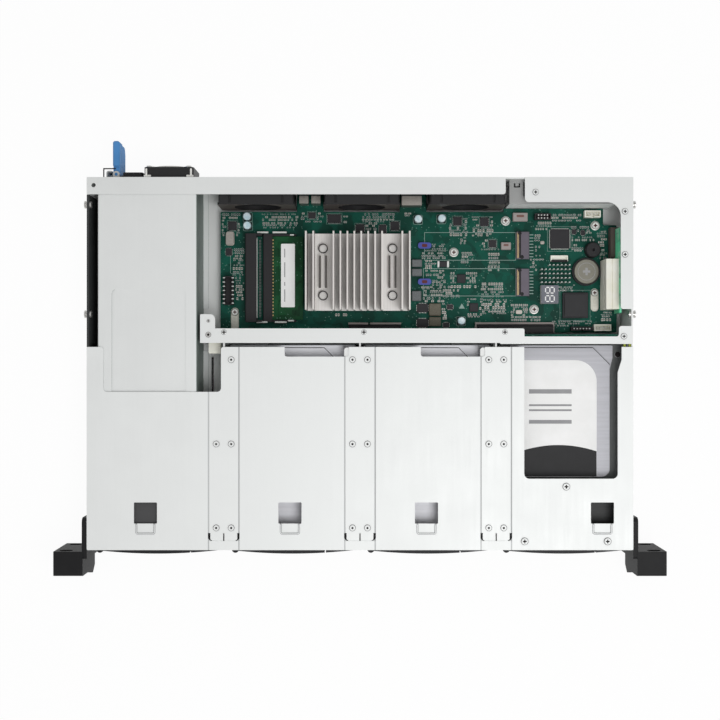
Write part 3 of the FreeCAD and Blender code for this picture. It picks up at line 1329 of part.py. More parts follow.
def make_tray(bay):
    """Drive tray: the bezel, a floor cut out for air, and two side rails. The first is a short filler."""
    rear = DRIVE_REAR + 0.05
    if bay == 0:
        rear = BEZEL_REAR + FILLER_L
    half = TRAY_HALF
    floor = block(-half, half, BEZEL_REAR - 1, rear, TRAY_Z, DRIVE_Z)
    length = rear - BEZEL_REAR
    windows = []
    for i in range(2):
        y0 = BEZEL_REAR + 10 + i * (length / 2 - 2)
        windows.append(rounded_block(-half + 14, half - 14, y0, y0 + length / 2 - 20, TRAY_Z, DRIVE_Z, 5))
    rails = []
    for side in (-1, 1):
        x0, x1 = sorted((side * half, side * (half - TRAY_WALL)))
        profile = [(BEZEL_REAR - 1, TRAY_Z), (rear, TRAY_Z), (rear, TRAY_Z + 9, 2),
                   (rear - 12, TRAY_Z + TRAY_SIDE_H, 3), (BEZEL_REAR - 1, TRAY_Z + TRAY_SIDE_H)]
        rails.append(prism(profile, "yz", x0, x1))
    pieces = [make_bezel(), floor.cut(windows)] + rails
    if bay == 0:
        y0 = BEZEL_REAR - 1
        y1 = BEZEL_REAR + FILLER_DECK_L
        deck = [(-half, y0), (half, y0), (half, y1, 3), (-half, y1, 3)]
        pieces.append(prism(deck, "xy", BEZEL_TOP - FILLER_DECK_T, BEZEL_TOP))
    tray = joined(pieces)
    tray.translate(Vector(bay_x(bay), 0, 0))
    return tray


def make_lever(bay):
    """Pull lever with a bulged front, vent slots and a barrel on its upright pin."""
    px, py = pin_place()
    right = button_edges()[0] - 1.0
    bar = bulged_bar(px, right, BEZEL_FRONT - GAP, LEVER_Z, LEVER_TOP)
    middle = (LEVER_Z + LEVER_TOP) / 2
    slots = []
    for x in vent_places():
        if x < px + LEVER_BARREL_R + VENT_W:
            continue
        slots.append(block(x - VENT_W / 2, x + VENT_W / 2, FRONT - 8, BEZEL_FRONT,
                           middle - LEVER_VENT_H / 2, middle + LEVER_VENT_H / 2))
    barrel = upright(LEVER_BARREL_R, px, py, LEVER_Z, LEVER_TOP)
    pin = upright(LEVER_PIN_R, px, py, LEVER_Z - LEVER_LUG_H, LEVER_TOP + LEVER_LUG_H)
    lever = joined([bar.cut(slots), barrel, pin])
    lever.translate(Vector(bay_x(bay), 0, 0))
    return lever


def make_button(bay):
    """Release button beside the lever, continuing its bulged front, with finger grooves."""
    x0, x1 = button_edges()
    button = bulged_bar(x0, x1, BEZEL_FRONT + BUTTON_D, LEVER_Z, LEVER_TOP)
    middle = (x0 + x1) / 2
    grooves = []
    for i in range(-2, 3):
        start = Vector(middle + i * 3.2, bulge(middle) - 0.1, LEVER_Z + 4)
        grooves.append(rod(0.6, start, "xy", LEVER_H - 8))
    button = button.cut(grooves)
    button.translate(Vector(bay_x(bay), 0, 0))
    return button


def make_drive(bay):
    """Hard drive: a cast base and a stamped cover with a raised panel and chamfered rear corners."""
    half = DRIVE_W / 2
    top = DRIVE_Z + CASTING_H
    base = rounded_block(-half, half, DRIVE_FRONT, DRIVE_REAR, DRIVE_Z, top, 2.5)
    narrow = half - COVER_INSET
    wide = half - COVER_REAR_INSET
    front = DRIVE_FRONT + COVER_FRONT
    rear = DRIVE_REAR - 0.5
    step = rear - 10
    plate = [(-narrow, front, 4), (narrow, front, 4), (narrow, step - 9), (wide, step), (wide, rear, 1),
             (-wide, rear, 1), (-wide, step), (-narrow, step - 9)]
    inset = 1.2
    panel = [(-narrow + inset, front + inset, 3), (narrow - inset, front + inset, 3),
             (narrow - inset, rear - 2 - COVER_CHAMFER), (narrow - inset - COVER_CHAMFER, rear - 2),
             (-narrow + inset + COVER_CHAMFER, rear - 2), (-narrow + inset, rear - 2 - COVER_CHAMFER)]
    panel_z = top + COVER_T
    cover = joined([prism(plate, "xy", top, panel_z), prism(panel, "xy", panel_z, panel_z + PANEL_T)])
    pieces = [base, cover]
    for piece in pieces:
        piece.translate(Vector(bay_x(bay), 0, 0))
    return pieces


def save(name, shape):
    if isinstance(shape, list):
        shape = Part.makeCompound(shape)
    shape.exportStep("parts/%s.step" % name)


def main():
    os.makedirs("parts", exist_ok=True)
    makers = [
        make_base_tray, make_rear_panel, make_drive_cage_cover, make_bay_dividers, make_crossbar,
        make_backplane_bracket, make_corner_plate, make_slot_cage, make_psu_cage, make_rail_studs,
        make_mainboard, make_board_spacers, make_heatsink, make_heatsink_pins,
        make_memory_sockets, make_memory_module, make_card_sockets, make_coin_cell, make_buzzer,
        make_capacitors, make_inductors, make_chips, make_segment_display, make_board_connectors,
        make_riser_card, make_white_connectors, make_io_ports, make_backplane, make_dock_sockets,
        make_psu_case, make_psu_inlet, make_psu_fan_frame, make_psu_fan_guard, make_psu_fan_rotor,
        make_psu_latch, make_power_button]
    for maker in makers:
        save(maker.__name__[len("make_"):], maker())
    save("rack_ear_left", make_rack_ear(-1))
    save("rack_ear_right", make_rack_ear(1))
    for fan in range(FANS):
        save("fan_frame_%d" % (fan + 1), make_fan_frame(fan))
        save("fan_rotor_%d" % (fan + 1), make_fan_rotor(fan))
    for bay in range(BAYS):
        save("tray_%d" % (bay + 1), make_tray(bay))
        save("lever_%d" % (bay + 1), make_lever(bay))
        save("button_%d" % (bay + 1), make_button(bay))
        if bay > 0:
            save("drive_%d" % (bay + 1), make_drive(bay))


main()
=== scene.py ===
# %% [markdown]
# A rackmount storage server with its rear lid off, dressed for a straight-down studio picture. The
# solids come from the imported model. This lesson gives each of them a finish made of shader nodes, and
# adds the small things that a mechanical model leaves out: screws, contacts, labels and board parts.

# %% Load the model
import math
import random
import bmesh
import bpy
from mathutils import Matrix, Vector


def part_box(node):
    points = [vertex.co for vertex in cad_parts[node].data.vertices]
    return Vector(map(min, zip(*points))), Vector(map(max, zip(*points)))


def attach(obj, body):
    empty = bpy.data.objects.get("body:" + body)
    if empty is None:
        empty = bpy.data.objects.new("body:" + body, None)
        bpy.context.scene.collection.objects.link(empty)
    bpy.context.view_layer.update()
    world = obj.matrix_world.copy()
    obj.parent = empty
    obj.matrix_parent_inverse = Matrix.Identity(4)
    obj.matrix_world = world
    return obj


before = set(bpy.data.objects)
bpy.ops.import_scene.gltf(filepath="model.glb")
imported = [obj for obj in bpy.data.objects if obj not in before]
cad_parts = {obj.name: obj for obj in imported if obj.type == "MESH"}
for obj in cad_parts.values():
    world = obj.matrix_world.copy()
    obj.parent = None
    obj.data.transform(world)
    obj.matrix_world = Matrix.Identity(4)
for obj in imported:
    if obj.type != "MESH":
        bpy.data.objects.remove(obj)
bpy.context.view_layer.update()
MM = 0.001
print("loaded", len(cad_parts), "nodes")

# %% [markdown]
# The server stands on its flat underside, so the floor is at height zero. Small parts are placed from
# the edges of the main board, as a board designer would do it, so their places are offsets in
# millimetres from its right and rear edges. Drive bays repeat at one pitch, which is read from the
# model too.

# %% Places measured from the model


def box(node):
    """The lowest and highest corner of a node, in millimetres."""
    low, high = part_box(node)
    return Vector(low) / MM, Vector(high) / MM


BOARD_RIGHT = box("mainboard")[1].x
BOARD_TOP = box("mainboard")[1].z
BOARD_REAR = box("fan_frame_1")[0].y - 2.2
COVER_FRONT = box("drive_cage_cover")[0].y
LID_TOP = box("drive_cage_cover")[1].z
CHANNEL_DIP = 0.5
CHANNEL_HALF = 11.95
BAY_PITCH = box("drive_3")[0].x - box("drive_2")[0].x


def spot(right, rear):
    """A place on the main board, given from its right and rear edges."""
    return BOARD_RIGHT - right, BOARD_REAR - rear


def bay_x(bay):
    return (bay - 2.5) * BAY_PITCH


print("board top at", round(BOARD_TOP, 2), "mm, bays", round(BAY_PITCH, 2), "mm apart")

# %% [markdown]
# The picture looks straight down, and the tall walls lean outwards in it. That lean gives the height
# of the camera: a little under one metre above the floor. A lens of about 59 mm then frames the rack
# ears as they should be.

# %% Camera
CAMERA_HEIGHT = 978
CAMERA_Y = 2.8
LENS, SENSOR = 59.4, 36.0
camera_data = bpy.data.cameras.new("top_camera")
camera_data.lens = LENS
camera_data.sensor_width = SENSOR
camera = bpy.data.objects.new("top_camera", camera_data)
camera.location = (0.0, CAMERA_Y * MM, CAMERA_HEIGHT * MM)
bpy.context.scene.collection.objects.link(camera)
bpy.context.scene.camera = camera
bpy.context.scene.view_settings.view_transform = "Standard"
print("camera", tuple(round(v, 3) for v in camera.location))

# %% [markdown]
# Shader maths reads best as plain arithmetic. The class Value wraps a node's output and adds a Math
# node for each operator. Finish holds one material: its node method makes any node, sets it up, and
# joins or fills its sockets.

# %% Shader helpers


def operator(operation, swapped=False):
    """A method that adds a Math node."""
    def method(self, other=None):
        first, second = (other, self) if swapped else (self, other)
        return self.finish.node("ShaderNodeMath", {"operation": operation}, {0: first, 1: second})
    return method


class Value:
    """The output of a shader node, which can be used in sums."""

    def __init__(self, finish, socket):
        self.finish = finish
        self.socket = socket

    __add__ = operator("ADD")
    __radd__ = operator("ADD", swapped=True)
    __sub__ = operator("SUBTRACT")
    __rsub__ = operator("SUBTRACT", swapped=True)
    __mul__ = operator("MULTIPLY")
    __abs__ = operator("ABSOLUTE")
    above = operator("GREATER_THAN")
    below = operator("LESS_THAN")
    most = operator("MAXIMUM")
    to_and_fro = operator("PINGPONG")

    def to_nearest(self, pitch):
        """The distance to the nearest whole multiple of pitch."""
        return self.to_and_fro(pitch / 2)


class Finish:
    """One procedural material."""

    def __init__(self, name, **settings):
        self.material = bpy.data.materials.new(name)
        self.material.use_nodes = True
        self.tree = self.material.node_tree
        self.shader = self.tree.nodes["Principled BSDF"]
        for socket, value in settings.items():
            self.shader.inputs[socket.replace("_", " ").title().replace("Ior", "IOR")].default_value = value

    def node(self, kind, settings, inputs, output=0):
        made = self.tree.nodes.new(kind)
        for name, value in settings.items():
            setattr(made, name, value)
        for key, value in inputs.items():
            if isinstance(value, Value):
                self.tree.links.new(value.socket, made.inputs[key])
            elif value is not None:
                made.inputs[key].default_value = value
        return Value(self, made.outputs[output])

    def place(self, stretch=(1, 1, 1)):
        """Object coordinates in metres, stretched along each axis."""
        point = self.node("ShaderNodeTexCoord", {}, {}, "Object")
        return self.node("ShaderNodeVectorMath", {"operation": "MULTIPLY"}, {0: point, 1: stretch})

    def axis(self, letter):
        """One object coordinate, in millimetres."""
        point = self.node("ShaderNodeTexCoord", {}, {}, "Object")
        return self.node("ShaderNodeSeparateXYZ", {}, {0: point}, letter) * (1 / MM)

    def facing(self, letter):
        """How far a face looks along an axis."""
        normal = self.node("ShaderNodeNewGeometry", {}, {}, "Normal")
        return self.node("ShaderNodeSeparateXYZ", {}, {0: normal}, letter)

    def noise(self, scale, detail=3.0, stretch=(1, 1, 1)):
        inputs = {"Vector": self.place(stretch), "Scale": scale, "Detail": detail}
        return self.node("ShaderNodeTexNoise", {}, inputs)

    def ramp(self, value, low, high):
        """Spread the stretch of value from low to high over zero to one."""
        return self.node("ShaderNodeMapRange", {}, {0: value, 1: low, 2: high, 3: 0.0, 4: 1.0})

    def mix(self, low, high, amount):
        return self.node("ShaderNodeMix", {"data_type": "RGBA"}, {0: amount, 6: low, 7: high}, 2)

    def feed(self, socket, value):
        self.tree.links.new(value.socket, self.shader.inputs[socket])

    def paint(self, low, high, amount):
        """Colour the surface, from one tone to another by amount."""
        self.feed("Base Color", self.mix(low, high, amount))

    def bump(self, height, strength, distance):
        inputs = {"Height": height, "Strength": strength, "Distance": distance}
        self.feed("Normal", self.node("ShaderNodeBump", {}, inputs, "Normal"))


def rgb(red, green, blue):
    """A colour written as the eye sees it, from 0 to 255, for a shader socket."""
    parts = [value / 255 for value in (red, green, blue)]
    linear = [part / 12.92 if part <= 0.04045 else ((part + 0.055) / 1.055) ** 2.4 for part in parts]
    return (*linear, 1.0)


def shade(colour, factor):
    """A colour made darker or lighter."""
    return tuple(min(1.0, part * factor) for part in colour[:3]) + (1.0,)


def dress(finish, *nodes):
    """Give a finish to nodes of the model."""
    for node in nodes:
        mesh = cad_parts[node].data
        mesh.materials.clear()
        mesh.materials.append(finish.material)


print("shader helpers ready")

# %% [markdown]
# The studio is plain: an even white sky, a soft lamp above the front right, and a white floor, which
# rises into a backdrop far out, so that low views show no horizon. For camera, glossy and transmitted
# rays the floor mixes in a white glow, so the background is white while the floor keeps a faint
# shadow. Under the server the floor has no glow, so that openings in the base look dark, as they do
# on a bench.

# %% Studio
SKY = 0.555
LAMP_WATTS = 4.95
LAMP_SIZE = 0.55
LAMP_PLACE = (0.28, -0.3, 1.05)
FLOOR_HALF = 12.0
FLOOR_CELLS = 48
FLOOR_DROP = 0.4
FLAT_RADIUS = 6.0
BACKDROP_RISE = 0.12
GLOW_SHARE = 0.95
world = bpy.data.worlds.new("studio_sky")
world.use_nodes = True
sky = world.node_tree.nodes["Background"].inputs
sky["Color"].default_value = (1.0, 1.0, 1.0, 1.0)
sky["Strength"].default_value = SKY
bpy.context.scene.world = world
lamp_data = bpy.data.lights.new("soft_lamp", "AREA")
lamp_data.shape = "DISK"
lamp_data.size = LAMP_SIZE
lamp_data.energy = LAMP_WATTS
lamp = bpy.data.objects.new("soft_lamp", lamp_data)
lamp.location = LAMP_PLACE
lamp.rotation_euler = (-lamp.location).to_track_quat("-Z", "Y").to_euler()
bpy.context.scene.collection.objects.link(lamp)

floor_bm = bmesh.new()
bmesh.ops.create_grid(floor_bm, x_segments=FLOOR_CELLS, y_segments=FLOOR_CELLS, size=FLOOR_HALF)
for vert in floor_bm.verts:
    rise = BACKDROP_RISE * max(0.0, vert.co.xy.length - FLAT_RADIUS) ** 2
    vert.co.z = rise - FLOOR_DROP * MM
floor_mesh = bpy.data.meshes.new("studio_floor")
floor_bm.to_mesh(floor_mesh)
floor_bm.free()
floor = bpy.data.objects.new("studio_floor", floor_mesh)
bpy.context.scene.collection.objects.link(floor)

floor_finish = Finish("floor_white", base_color=rgb(245, 245, 245), roughness=0.9)
rays = [floor_finish.node("ShaderNodeLightPath", {}, {}, ray)
        for ray in ("Is Camera Ray", "Is Glossy Ray", "Is Transmission Ray")]
seen = (rays[0] + rays[1] + rays[2]).above(0.5)
glow = floor_finish.node("ShaderNodeEmission", {}, {"Color": (1, 1, 1, 1), "Strength": 1.0})
plain = Value(floor_finish, floor_finish.shader.outputs[0])
tray_low, tray_high = box("base_tray")
tray_middle = (tray_low + tray_high) / 2
beside = abs(floor_finish.axis("X")).above(tray_high.x)
beyond = abs(floor_finish.axis("Y") - tray_middle.y).above(tray_high.y - tray_middle.y)
glow_share = seen * beside.most(beyond) * GLOW_SHARE
mixed = floor_finish.node("ShaderNodeMixShader", {}, {0: glow_share, 1: plain, 2: glow})
floor_finish.tree.links.new(mixed.socket, floor_finish.tree.nodes["Material Output"].inputs["Surface"])
floor_mesh.materials.append(floor_finish.material)
print("studio ready")

# %% [markdown]
# The chassis is zinc-coated sheet with a satin, nearly white face. Real sheet is never quite even:
# the zinc has a soft cloudiness, rolling leaves fine streaks along one direction, and handling leaves
# a few smoother patches. On the cover a painted shade greys the bent edges of the pressed channels,
# where their slopes lie in shade.

# %% Zinc-coated sheet


def sheet_finish(name, colour, streak):
    finish = Finish(name, metallic=0.15, roughness=0.5)
    cloud = finish.ramp(finish.noise(38.0, 4.0), 0.32, 0.68)
    streaks = finish.ramp(finish.noise(520.0, 2.0, streak), 0.3, 0.7)
    finish.tone = finish.mix(shade(colour, 0.965), colour, cloud * 0.7 + streaks * 0.3)
    finish.feed("Base Color", finish.tone)
    finish.feed("Roughness", 0.46 + cloud * 0.08 + streaks * 0.06)
    finish.bump(streaks, 0.03, 0.05 * MM)
    return finish


ALONG_Y = (1.0, 0.04, 1.0)
ALONG_X = (0.04, 1.0, 1.0)
BEND_SHADE_HALF = 0.55
LAST_BEND = 150.0
zinc = sheet_finish("zinc_sheet", rgb(232, 234, 233), ALONG_Y)
zinc_cover = sheet_finish("zinc_cover", rgb(236, 238, 237), ALONG_Y)
zinc_dull = sheet_finish("zinc_inside", rgb(232, 233, 232), ALONG_Y)
supply_sheet = sheet_finish("supply_sheet", rgb(196, 198, 198), ALONG_X)
cover_x = zinc_cover.axis("X")
# Painted shade: a grey line along each bent edge of the pressed channels on the cover.
bend_shade = abs(cover_x.to_nearest(BAY_PITCH) - CHANNEL_HALF).below(BEND_SHADE_HALF)
zinc_cover.paint(zinc_cover.tone, rgb(188, 190, 190), bend_shade * abs(cover_x).below(LAST_BEND))
cage_zinc = sheet_finish("zinc_cage", rgb(232, 234, 233), ALONG_Y)
# Painted shade: the cage's faces that look along +X are darker, with a painted green reflection of the
# board.
cage_zinc.paint(cage_zinc.tone, rgb(128, 140, 135), cage_zinc.facing("X").above(0.5))
slot_zinc = sheet_finish("zinc_slot", rgb(160, 161, 160), ALONG_Y)
# Painted highlight: the slot cage's faces toward the front are near white, the rest of it grey.
slot_zinc.paint(slot_zinc.tone, rgb(250, 251, 250), slot_zinc.facing("Y").below(-0.5))
dress(zinc_cover, "drive_cage_cover")
dress(cage_zinc, "psu_cage")
dress(slot_zinc, "slot_cage")
dress(zinc, "rear_panel", "crossbar", "corner_plate", "backplane_bracket")
dress(zinc_dull, "base_tray", "bay_dividers")
dress(supply_sheet, "psu_case")
print("sheet metal dressed")

# %% [markdown]
# Turned and drawn steel parts, such as studs, spacers, port shells and the finger guard, are brighter
# and more mirror-like than the sheet, with faint grain. Tin on solder joints and gold on contacts are
# made the same way. Inside their steel rims the rear ports are lined with dark plastic.

# %% Bright metals
METAL = 0.85
PORT_DEPTH = 12.7
PORT_RIM = 0.2


def steel_finish(name, colour, roughness, metallic=METAL):
    finish = Finish(name, metallic=metallic, roughness=roughness)
    grain = finish.ramp(finish.noise(900.0, 2.0, (1.0, 1.0, 0.1)), 0.3, 0.7)
    finish.tone = finish.mix(shade(colour, 0.85), colour, grain)
    finish.feed("Base Color", finish.tone)
    finish.feed("Roughness", roughness - 0.04 + grain * 0.1)
    return finish


steel = steel_finish("bright_steel", rgb(214, 213, 210), 0.3)
port_steel = steel_finish("port_shell", rgb(176, 171, 164), 0.34)
cell_steel = steel_finish("cell_steel", rgb(128, 126, 116), 0.42)
# screw_rim is the grey steel of contacts; on screw heads it is a painted shade on their rims, and on the
# cell a painted highlight on its pressed marks.
rim_steel = steel_finish("screw_rim", rgb(150, 150, 150), 0.4)
solder = steel_finish("solder_tin", rgb(206, 206, 202), 0.36)
gold = steel_finish("contact_gold", rgb(186, 162, 116), 0.34)
pad_tin = steel_finish("pad_tin", rgb(228, 226, 214), 0.5, 0.2)
pin_tin = Finish("pin_tin", metallic=0.25, roughness=0.4)
pin_grain = pin_tin.ramp(pin_tin.noise(1500.0, 2.0), 0.35, 0.65)
pin_tin.paint(rgb(204, 206, 202), rgb(228, 229, 226), pin_grain)
port_mouth = box("io_ports")[1].y
port_y = port_steel.axis("Y")
port_inside = port_y.above(port_mouth - PORT_DEPTH) * port_y.below(port_mouth - PORT_RIM)
port_steel.paint(port_steel.tone, rgb(34, 34, 36), port_inside)
port_steel.feed("Metallic", METAL - port_inside * METAL)
dress(steel, "rail_studs", "psu_fan_guard")
dress(pad_tin, "board_spacers")
dress(port_steel, "io_ports")
dress(cell_steel, "coin_cell")
print("bright metals ready")

# %% [markdown]
# Black mouldings make up the ears, trays, fans and sockets. A moulded face has a fine spark-eroded
# grain, so its roughness and bump vary at a fraction of a millimetre, and a little dust makes some
# patches paler.

# %% Black mouldings


def moulded_finish(name, colour, roughness, grain_scale=2600.0, bump=0.25, gloss=0.22):
    finish = Finish(name, roughness=roughness, specular_ior_level=gloss)
    grain = finish.noise(grain_scale, 2.0)
    dust = finish.ramp(finish.noise(60.0, 5.0), 0.45, 0.8)
    pale = tuple(min(1.0, part * 1.3 + 0.003) for part in colour[:3]) + (1.0,)
    finish.feed("Base Color", finish.mix(colour, pale, dust * 0.7))
    finish.feed("Roughness", roughness - 0.05 + grain * 0.12)
    finish.bump(grain, bump, 0.06 * MM)
    return finish


BAYS = (1, 2, 3, 4)
RISER_LEFT, RISER_FRONT = 201.5, 85.0
BEZEL_DEPTH = 18.0
ear_black = moulded_finish("ear_black", rgb(30, 30, 31), 0.52, gloss=0.16)
bezel_black = moulded_finish("bezel_black", rgb(38, 38, 40), 0.5)
button_black = moulded_finish("button_black", rgb(46, 46, 49), 0.42)
rotor_black = moulded_finish("rotor_black", rgb(34, 33, 35), 0.4)
chip_black = moulded_finish("chip_black", rgb(46, 45, 48), 0.4, 3400.0)
inlet_black = moulded_finish("inlet_black", rgb(38, 38, 39), 0.42)
gloss_black = moulded_finish("gloss_black", rgb(26, 26, 28), 0.2, 2600.0, 0.04, 0.4)
film_black = moulded_finish("film_black", rgb(62, 64, 64), 0.6, 900.0, 0.1, 0.1)
slot_purple = moulded_finish("slot_purple", rgb(104, 98, 108), 0.42)
fan_black = moulded_finish("fan_black", rgb(40, 40, 41), 0.45)
# Painted highlight: the fan frames' faces toward the front are a paler warm grey.
fan_black.paint(rgb(42, 42, 43), rgb(88, 80, 77), fan_black.facing("Y").below(-0.5))
socket_black = moulded_finish("socket_black", rgb(42, 41, 43), 0.48)
riser_side = socket_black.axis("X").above(RISER_LEFT) * socket_black.axis("Y").above(RISER_FRONT)
socket_black.paint(rgb(42, 41, 43), rgb(92, 80, 76), riser_side)
display_grey = moulded_finish("display_grey", rgb(120, 122, 130), 0.35, 2200.0, 0.05)
display_grey.paint(rgb(116, 118, 127), rgb(226, 218, 216), display_grey.facing("Z").below(0.5))
filler_grey = moulded_finish("filler_grey", rgb(38, 38, 40), 0.5)
# Painted light: behind its bezel the filler tray is paler, for its inside seen in shade through the window.
behind_bezel = filler_grey.axis("Y").above(COVER_FRONT + BEZEL_DEPTH)
filler_grey.paint(rgb(38, 38, 40), rgb(76, 76, 77), behind_bezel)
dress(ear_black, "rack_ear_left", "rack_ear_right")
dress(filler_grey, "tray_1")
dress(bezel_black, *["tray_%d" % bay for bay in BAYS[1:]], *["lever_%d" % bay for bay in BAYS])
dress(button_black, *["button_%d" % bay for bay in BAYS])
dress(fan_black, "fan_frame_1", "fan_frame_2", "fan_frame_3", "psu_fan_frame")
dress(rotor_black, "fan_rotor_1", "fan_rotor_2", "fan_rotor_3", "psu_fan_rotor")
dress(socket_black, "memory_sockets", "board_connectors", "dock_sockets", "buzzer")
dress(slot_purple, "card_sockets")
dress(chip_black, "chips")
dress(inlet_black, "psu_inlet")
dress(gloss_black, "power_button")
dress(display_grey, "segment_display")
print("black mouldings dressed")

# %% [markdown]
# Solder mask is a thin green lacquer over copper. Copper areas end in straight edges, which Voronoi
# cells measured along the board's axes imitate, and tracks run between them in bundles: two striped
# waves, each masked by a slow noise. Plated holes are small pale dots.

# %% Circuit boards


def board_finish(name, ground, track, scale):
    finish = Finish(name, roughness=0.5, specular_ior_level=0.16)
    squares = {"voronoi_dimensions": "2D", "distance": "CHEBYCHEV"}
    pours = finish.node("ShaderNodeTexVoronoi", squares, {"Vector": finish.place(), "Scale": 85.0}, "Color")
    pour = finish.node("ShaderNodeSeparateColor", {}, {0: pours}, 0)
    bundles = []
    for direction, finer in (("X", 1.0), ("Y", 1.37)):
        wave = finish.node("ShaderNodeTexWave", {"bands_direction": direction},
                           {"Vector": finish.place(), "Scale": scale * finer, "Distortion": 0.0})
        where = finish.noise(70.0 * finer, 1.0).above(0.54)
        bundles.append(wave.above(0.68) * where)
    tracks = bundles[0].most(bundles[1])
    dots = finish.node("ShaderNodeTexVoronoi", {"voronoi_dimensions": "2D"},
                       {"Vector": finish.place(), "Scale": 300.0}, "Distance")
    holes = dots.below(0.12) * finish.noise(120.0, 1.0).above(0.56)
    copper = finish.mix(finish.mix(shade(ground, 0.62), ground, pour), track, tracks * 0.6)
    finish.paint(copper, rgb(120, 160, 146), holes * 0.6)
    finish.feed("Roughness", 0.45 + pour * 0.1)
    finish.bump(tracks, 0.3, 0.04 * MM)
    return finish


mask_green = board_finish("mask_green", rgb(0, 74, 60), rgb(14, 104, 86), 380.0)
module_green = board_finish("module_green", rgb(10, 66, 36), rgb(30, 100, 56), 420.0)
# Painted light: the riser card's green is much paler than the main board's, for its face in a narrow shaded
# gap.
riser_green = board_finish("riser_green", rgb(120, 244, 190), rgb(236, 252, 242), 300.0)
dress(mask_green, "mainboard", "backplane")
dress(module_green, "memory_module")
dress(riser_green, "riser_card")
print("boards dressed")

# %% [markdown]
# The heatsink is an aluminium extrusion, so its grain runs along the fins. Its fin sides are darker,
# a painted shade, and the floors between the fins are nearly white, a painted light tone. The fin tips
# are a plain pale grey, and a dark band at the height of the ribs is a painted shadow.

# %% Heatsink, cans and coils
FIN_TIP = box("heatsink")[1].z - 0.4
RIB_TOP, RIB_HALF = box("heatsink_pins")[1].z + 2.0, 0.4
CAN_FOOT = BOARD_TOP + 2.2
WARM_COILS = BOARD_REAR - 74.0
extruded = Finish("fin_aluminium", metallic=0.15, roughness=0.4)
drawn = extruded.ramp(extruded.noise(700.0, 3.0, ALONG_Y), 0.3, 0.7)
# Painted light and shade: near-white valley floors and darker fin sides.
valley_floor_light = extruded.mix(rgb(238, 234, 230), rgb(250, 247, 244), drawn)
fin_side_shade = extruded.mix(rgb(168, 162, 157), rgb(192, 187, 182), drawn)
valley_light_and_shade = extruded.mix(valley_floor_light, fin_side_shade, abs(extruded.facing("X")).above(0.5))
upper_tone = extruded.mix(valley_light_and_shade, rgb(222, 218, 214), extruded.axis("Z").above(FIN_TIP))
# Painted shadow: a dark band at the height of the rib tops.
extruded.paint(upper_tone, rgb(84, 80, 77), abs(extruded.axis("Z") - RIB_TOP).below(RIB_HALF))
extruded.feed("Roughness", 0.32 + drawn * 0.14)
extruded.bump(drawn, 0.15, 0.05 * MM)
dress(extruded, "heatsink")

can_top = Finish("can_aluminium", metallic=0.3, roughness=0.35)
can_cloud = can_top.ramp(can_top.noise(260.0, 2.0), 0.35, 0.65)
can_tone = can_top.mix(rgb(196, 222, 230), rgb(232, 244, 248), can_cloud)
can_top.paint(can_tone, rgb(34, 34, 36), can_top.axis("Z").below(CAN_FOOT))
dress(can_top, "capacitors")

ferrite = Finish("pressed_ferrite", roughness=0.55)
speck = ferrite.ramp(ferrite.noise(2400.0, 3.0), 0.35, 0.65)
cool_tone = ferrite.mix(rgb(92, 95, 97), rgb(120, 124, 126), speck)
warm_tone = ferrite.mix(rgb(84, 80, 66), rgb(110, 104, 88), speck)
ferrite.paint(cool_tone, warm_tone, ferrite.axis("Y").below(WARM_COILS))
ferrite.bump(speck, 0.3, 0.05 * MM)
dress(ferrite, "inductors")
print("heatsink, cans and coils dressed")

# %% [markdown]
# Pale nylon yellows a little with age. The latch of the power supply is the one bright colour on the
# server: a satin blue that tells service staff where to press. White print on the board and paper
# labels are dressed here too.

# %% Pale and blue mouldings
nylon = moulded_finish("pale_nylon", rgb(240, 238, 224), 0.45, 1800.0, 0.1, 0.35)
pin_white = moulded_finish("pin_white", rgb(228, 227, 223), 0.4, 1800.0, 0.08, 0.35)
latch_blue = moulded_finish("latch_blue", rgb(80, 138, 196), 0.5, 2000.0, 0.1, 0.12)
coil_blue = moulded_finish("coil_blue", rgb(74, 84, 168), 0.4, 1500.0, 0.15, 0.35)
coil_red = moulded_finish("coil_red", rgb(96, 40, 44), 0.45, 1500.0, 0.15, 0.3)
resistor_black = moulded_finish("resistor_black", rgb(34, 34, 37), 0.4, 3400.0, 0.1, 0.3)
capacitor_tan = moulded_finish("capacitor_tan", rgb(128, 122, 110), 0.45, 3400.0, 0.1, 0.3)
box_pink = moulded_finish("box_pink", rgb(158, 150, 147), 0.45, 2600.0, 0.1, 0.3)
box_brown = moulded_finish("box_brown", rgb(118, 84, 76), 0.45, 2600.0, 0.1, 0.3)
bead_grey = moulded_finish("bead_grey", rgb(164, 166, 167), 0.45, 1200.0, 0.05, 0.3)
edge_olive = moulded_finish("edge_olive", rgb(140, 150, 40), 0.5, 2400.0, 0.1, 0.2)
silk_dim = moulded_finish("silk_dim", rgb(150, 174, 166), 0.6, 3000.0, 0.05, 0.2)
silk_white = moulded_finish("silk_white", rgb(222, 226, 222), 0.6, 3000.0, 0.05, 0.2)
paper_white = moulded_finish("paper_white", rgb(244, 244, 243), 0.55, 1200.0, 0.06, 0.25)
paper_black = moulded_finish("paper_black", rgb(30, 30, 32), 0.5, 1200.0, 0.06, 0.25)
paper_grey = moulded_finish("paper_grey", rgb(150, 150, 152), 0.55, 1200.0, 0.06, 0.25)
# recess_dark and recess_red are painted shade in screw recesses, slits, seams and round the heatsink's push
# pins; recess_dark is also the black wire of the latch's hook.
recess_dark = moulded_finish("recess_dark", rgb(40, 36, 36), 0.6, 2400.0, 0.1, 0.1)
recess_red = moulded_finish("recess_red", rgb(96, 62, 58), 0.6, 2400.0, 0.1, 0.1)
push_pin = moulded_finish("push_pin", rgb(240, 238, 235), 0.4, 1800.0, 0.08, 0.35)
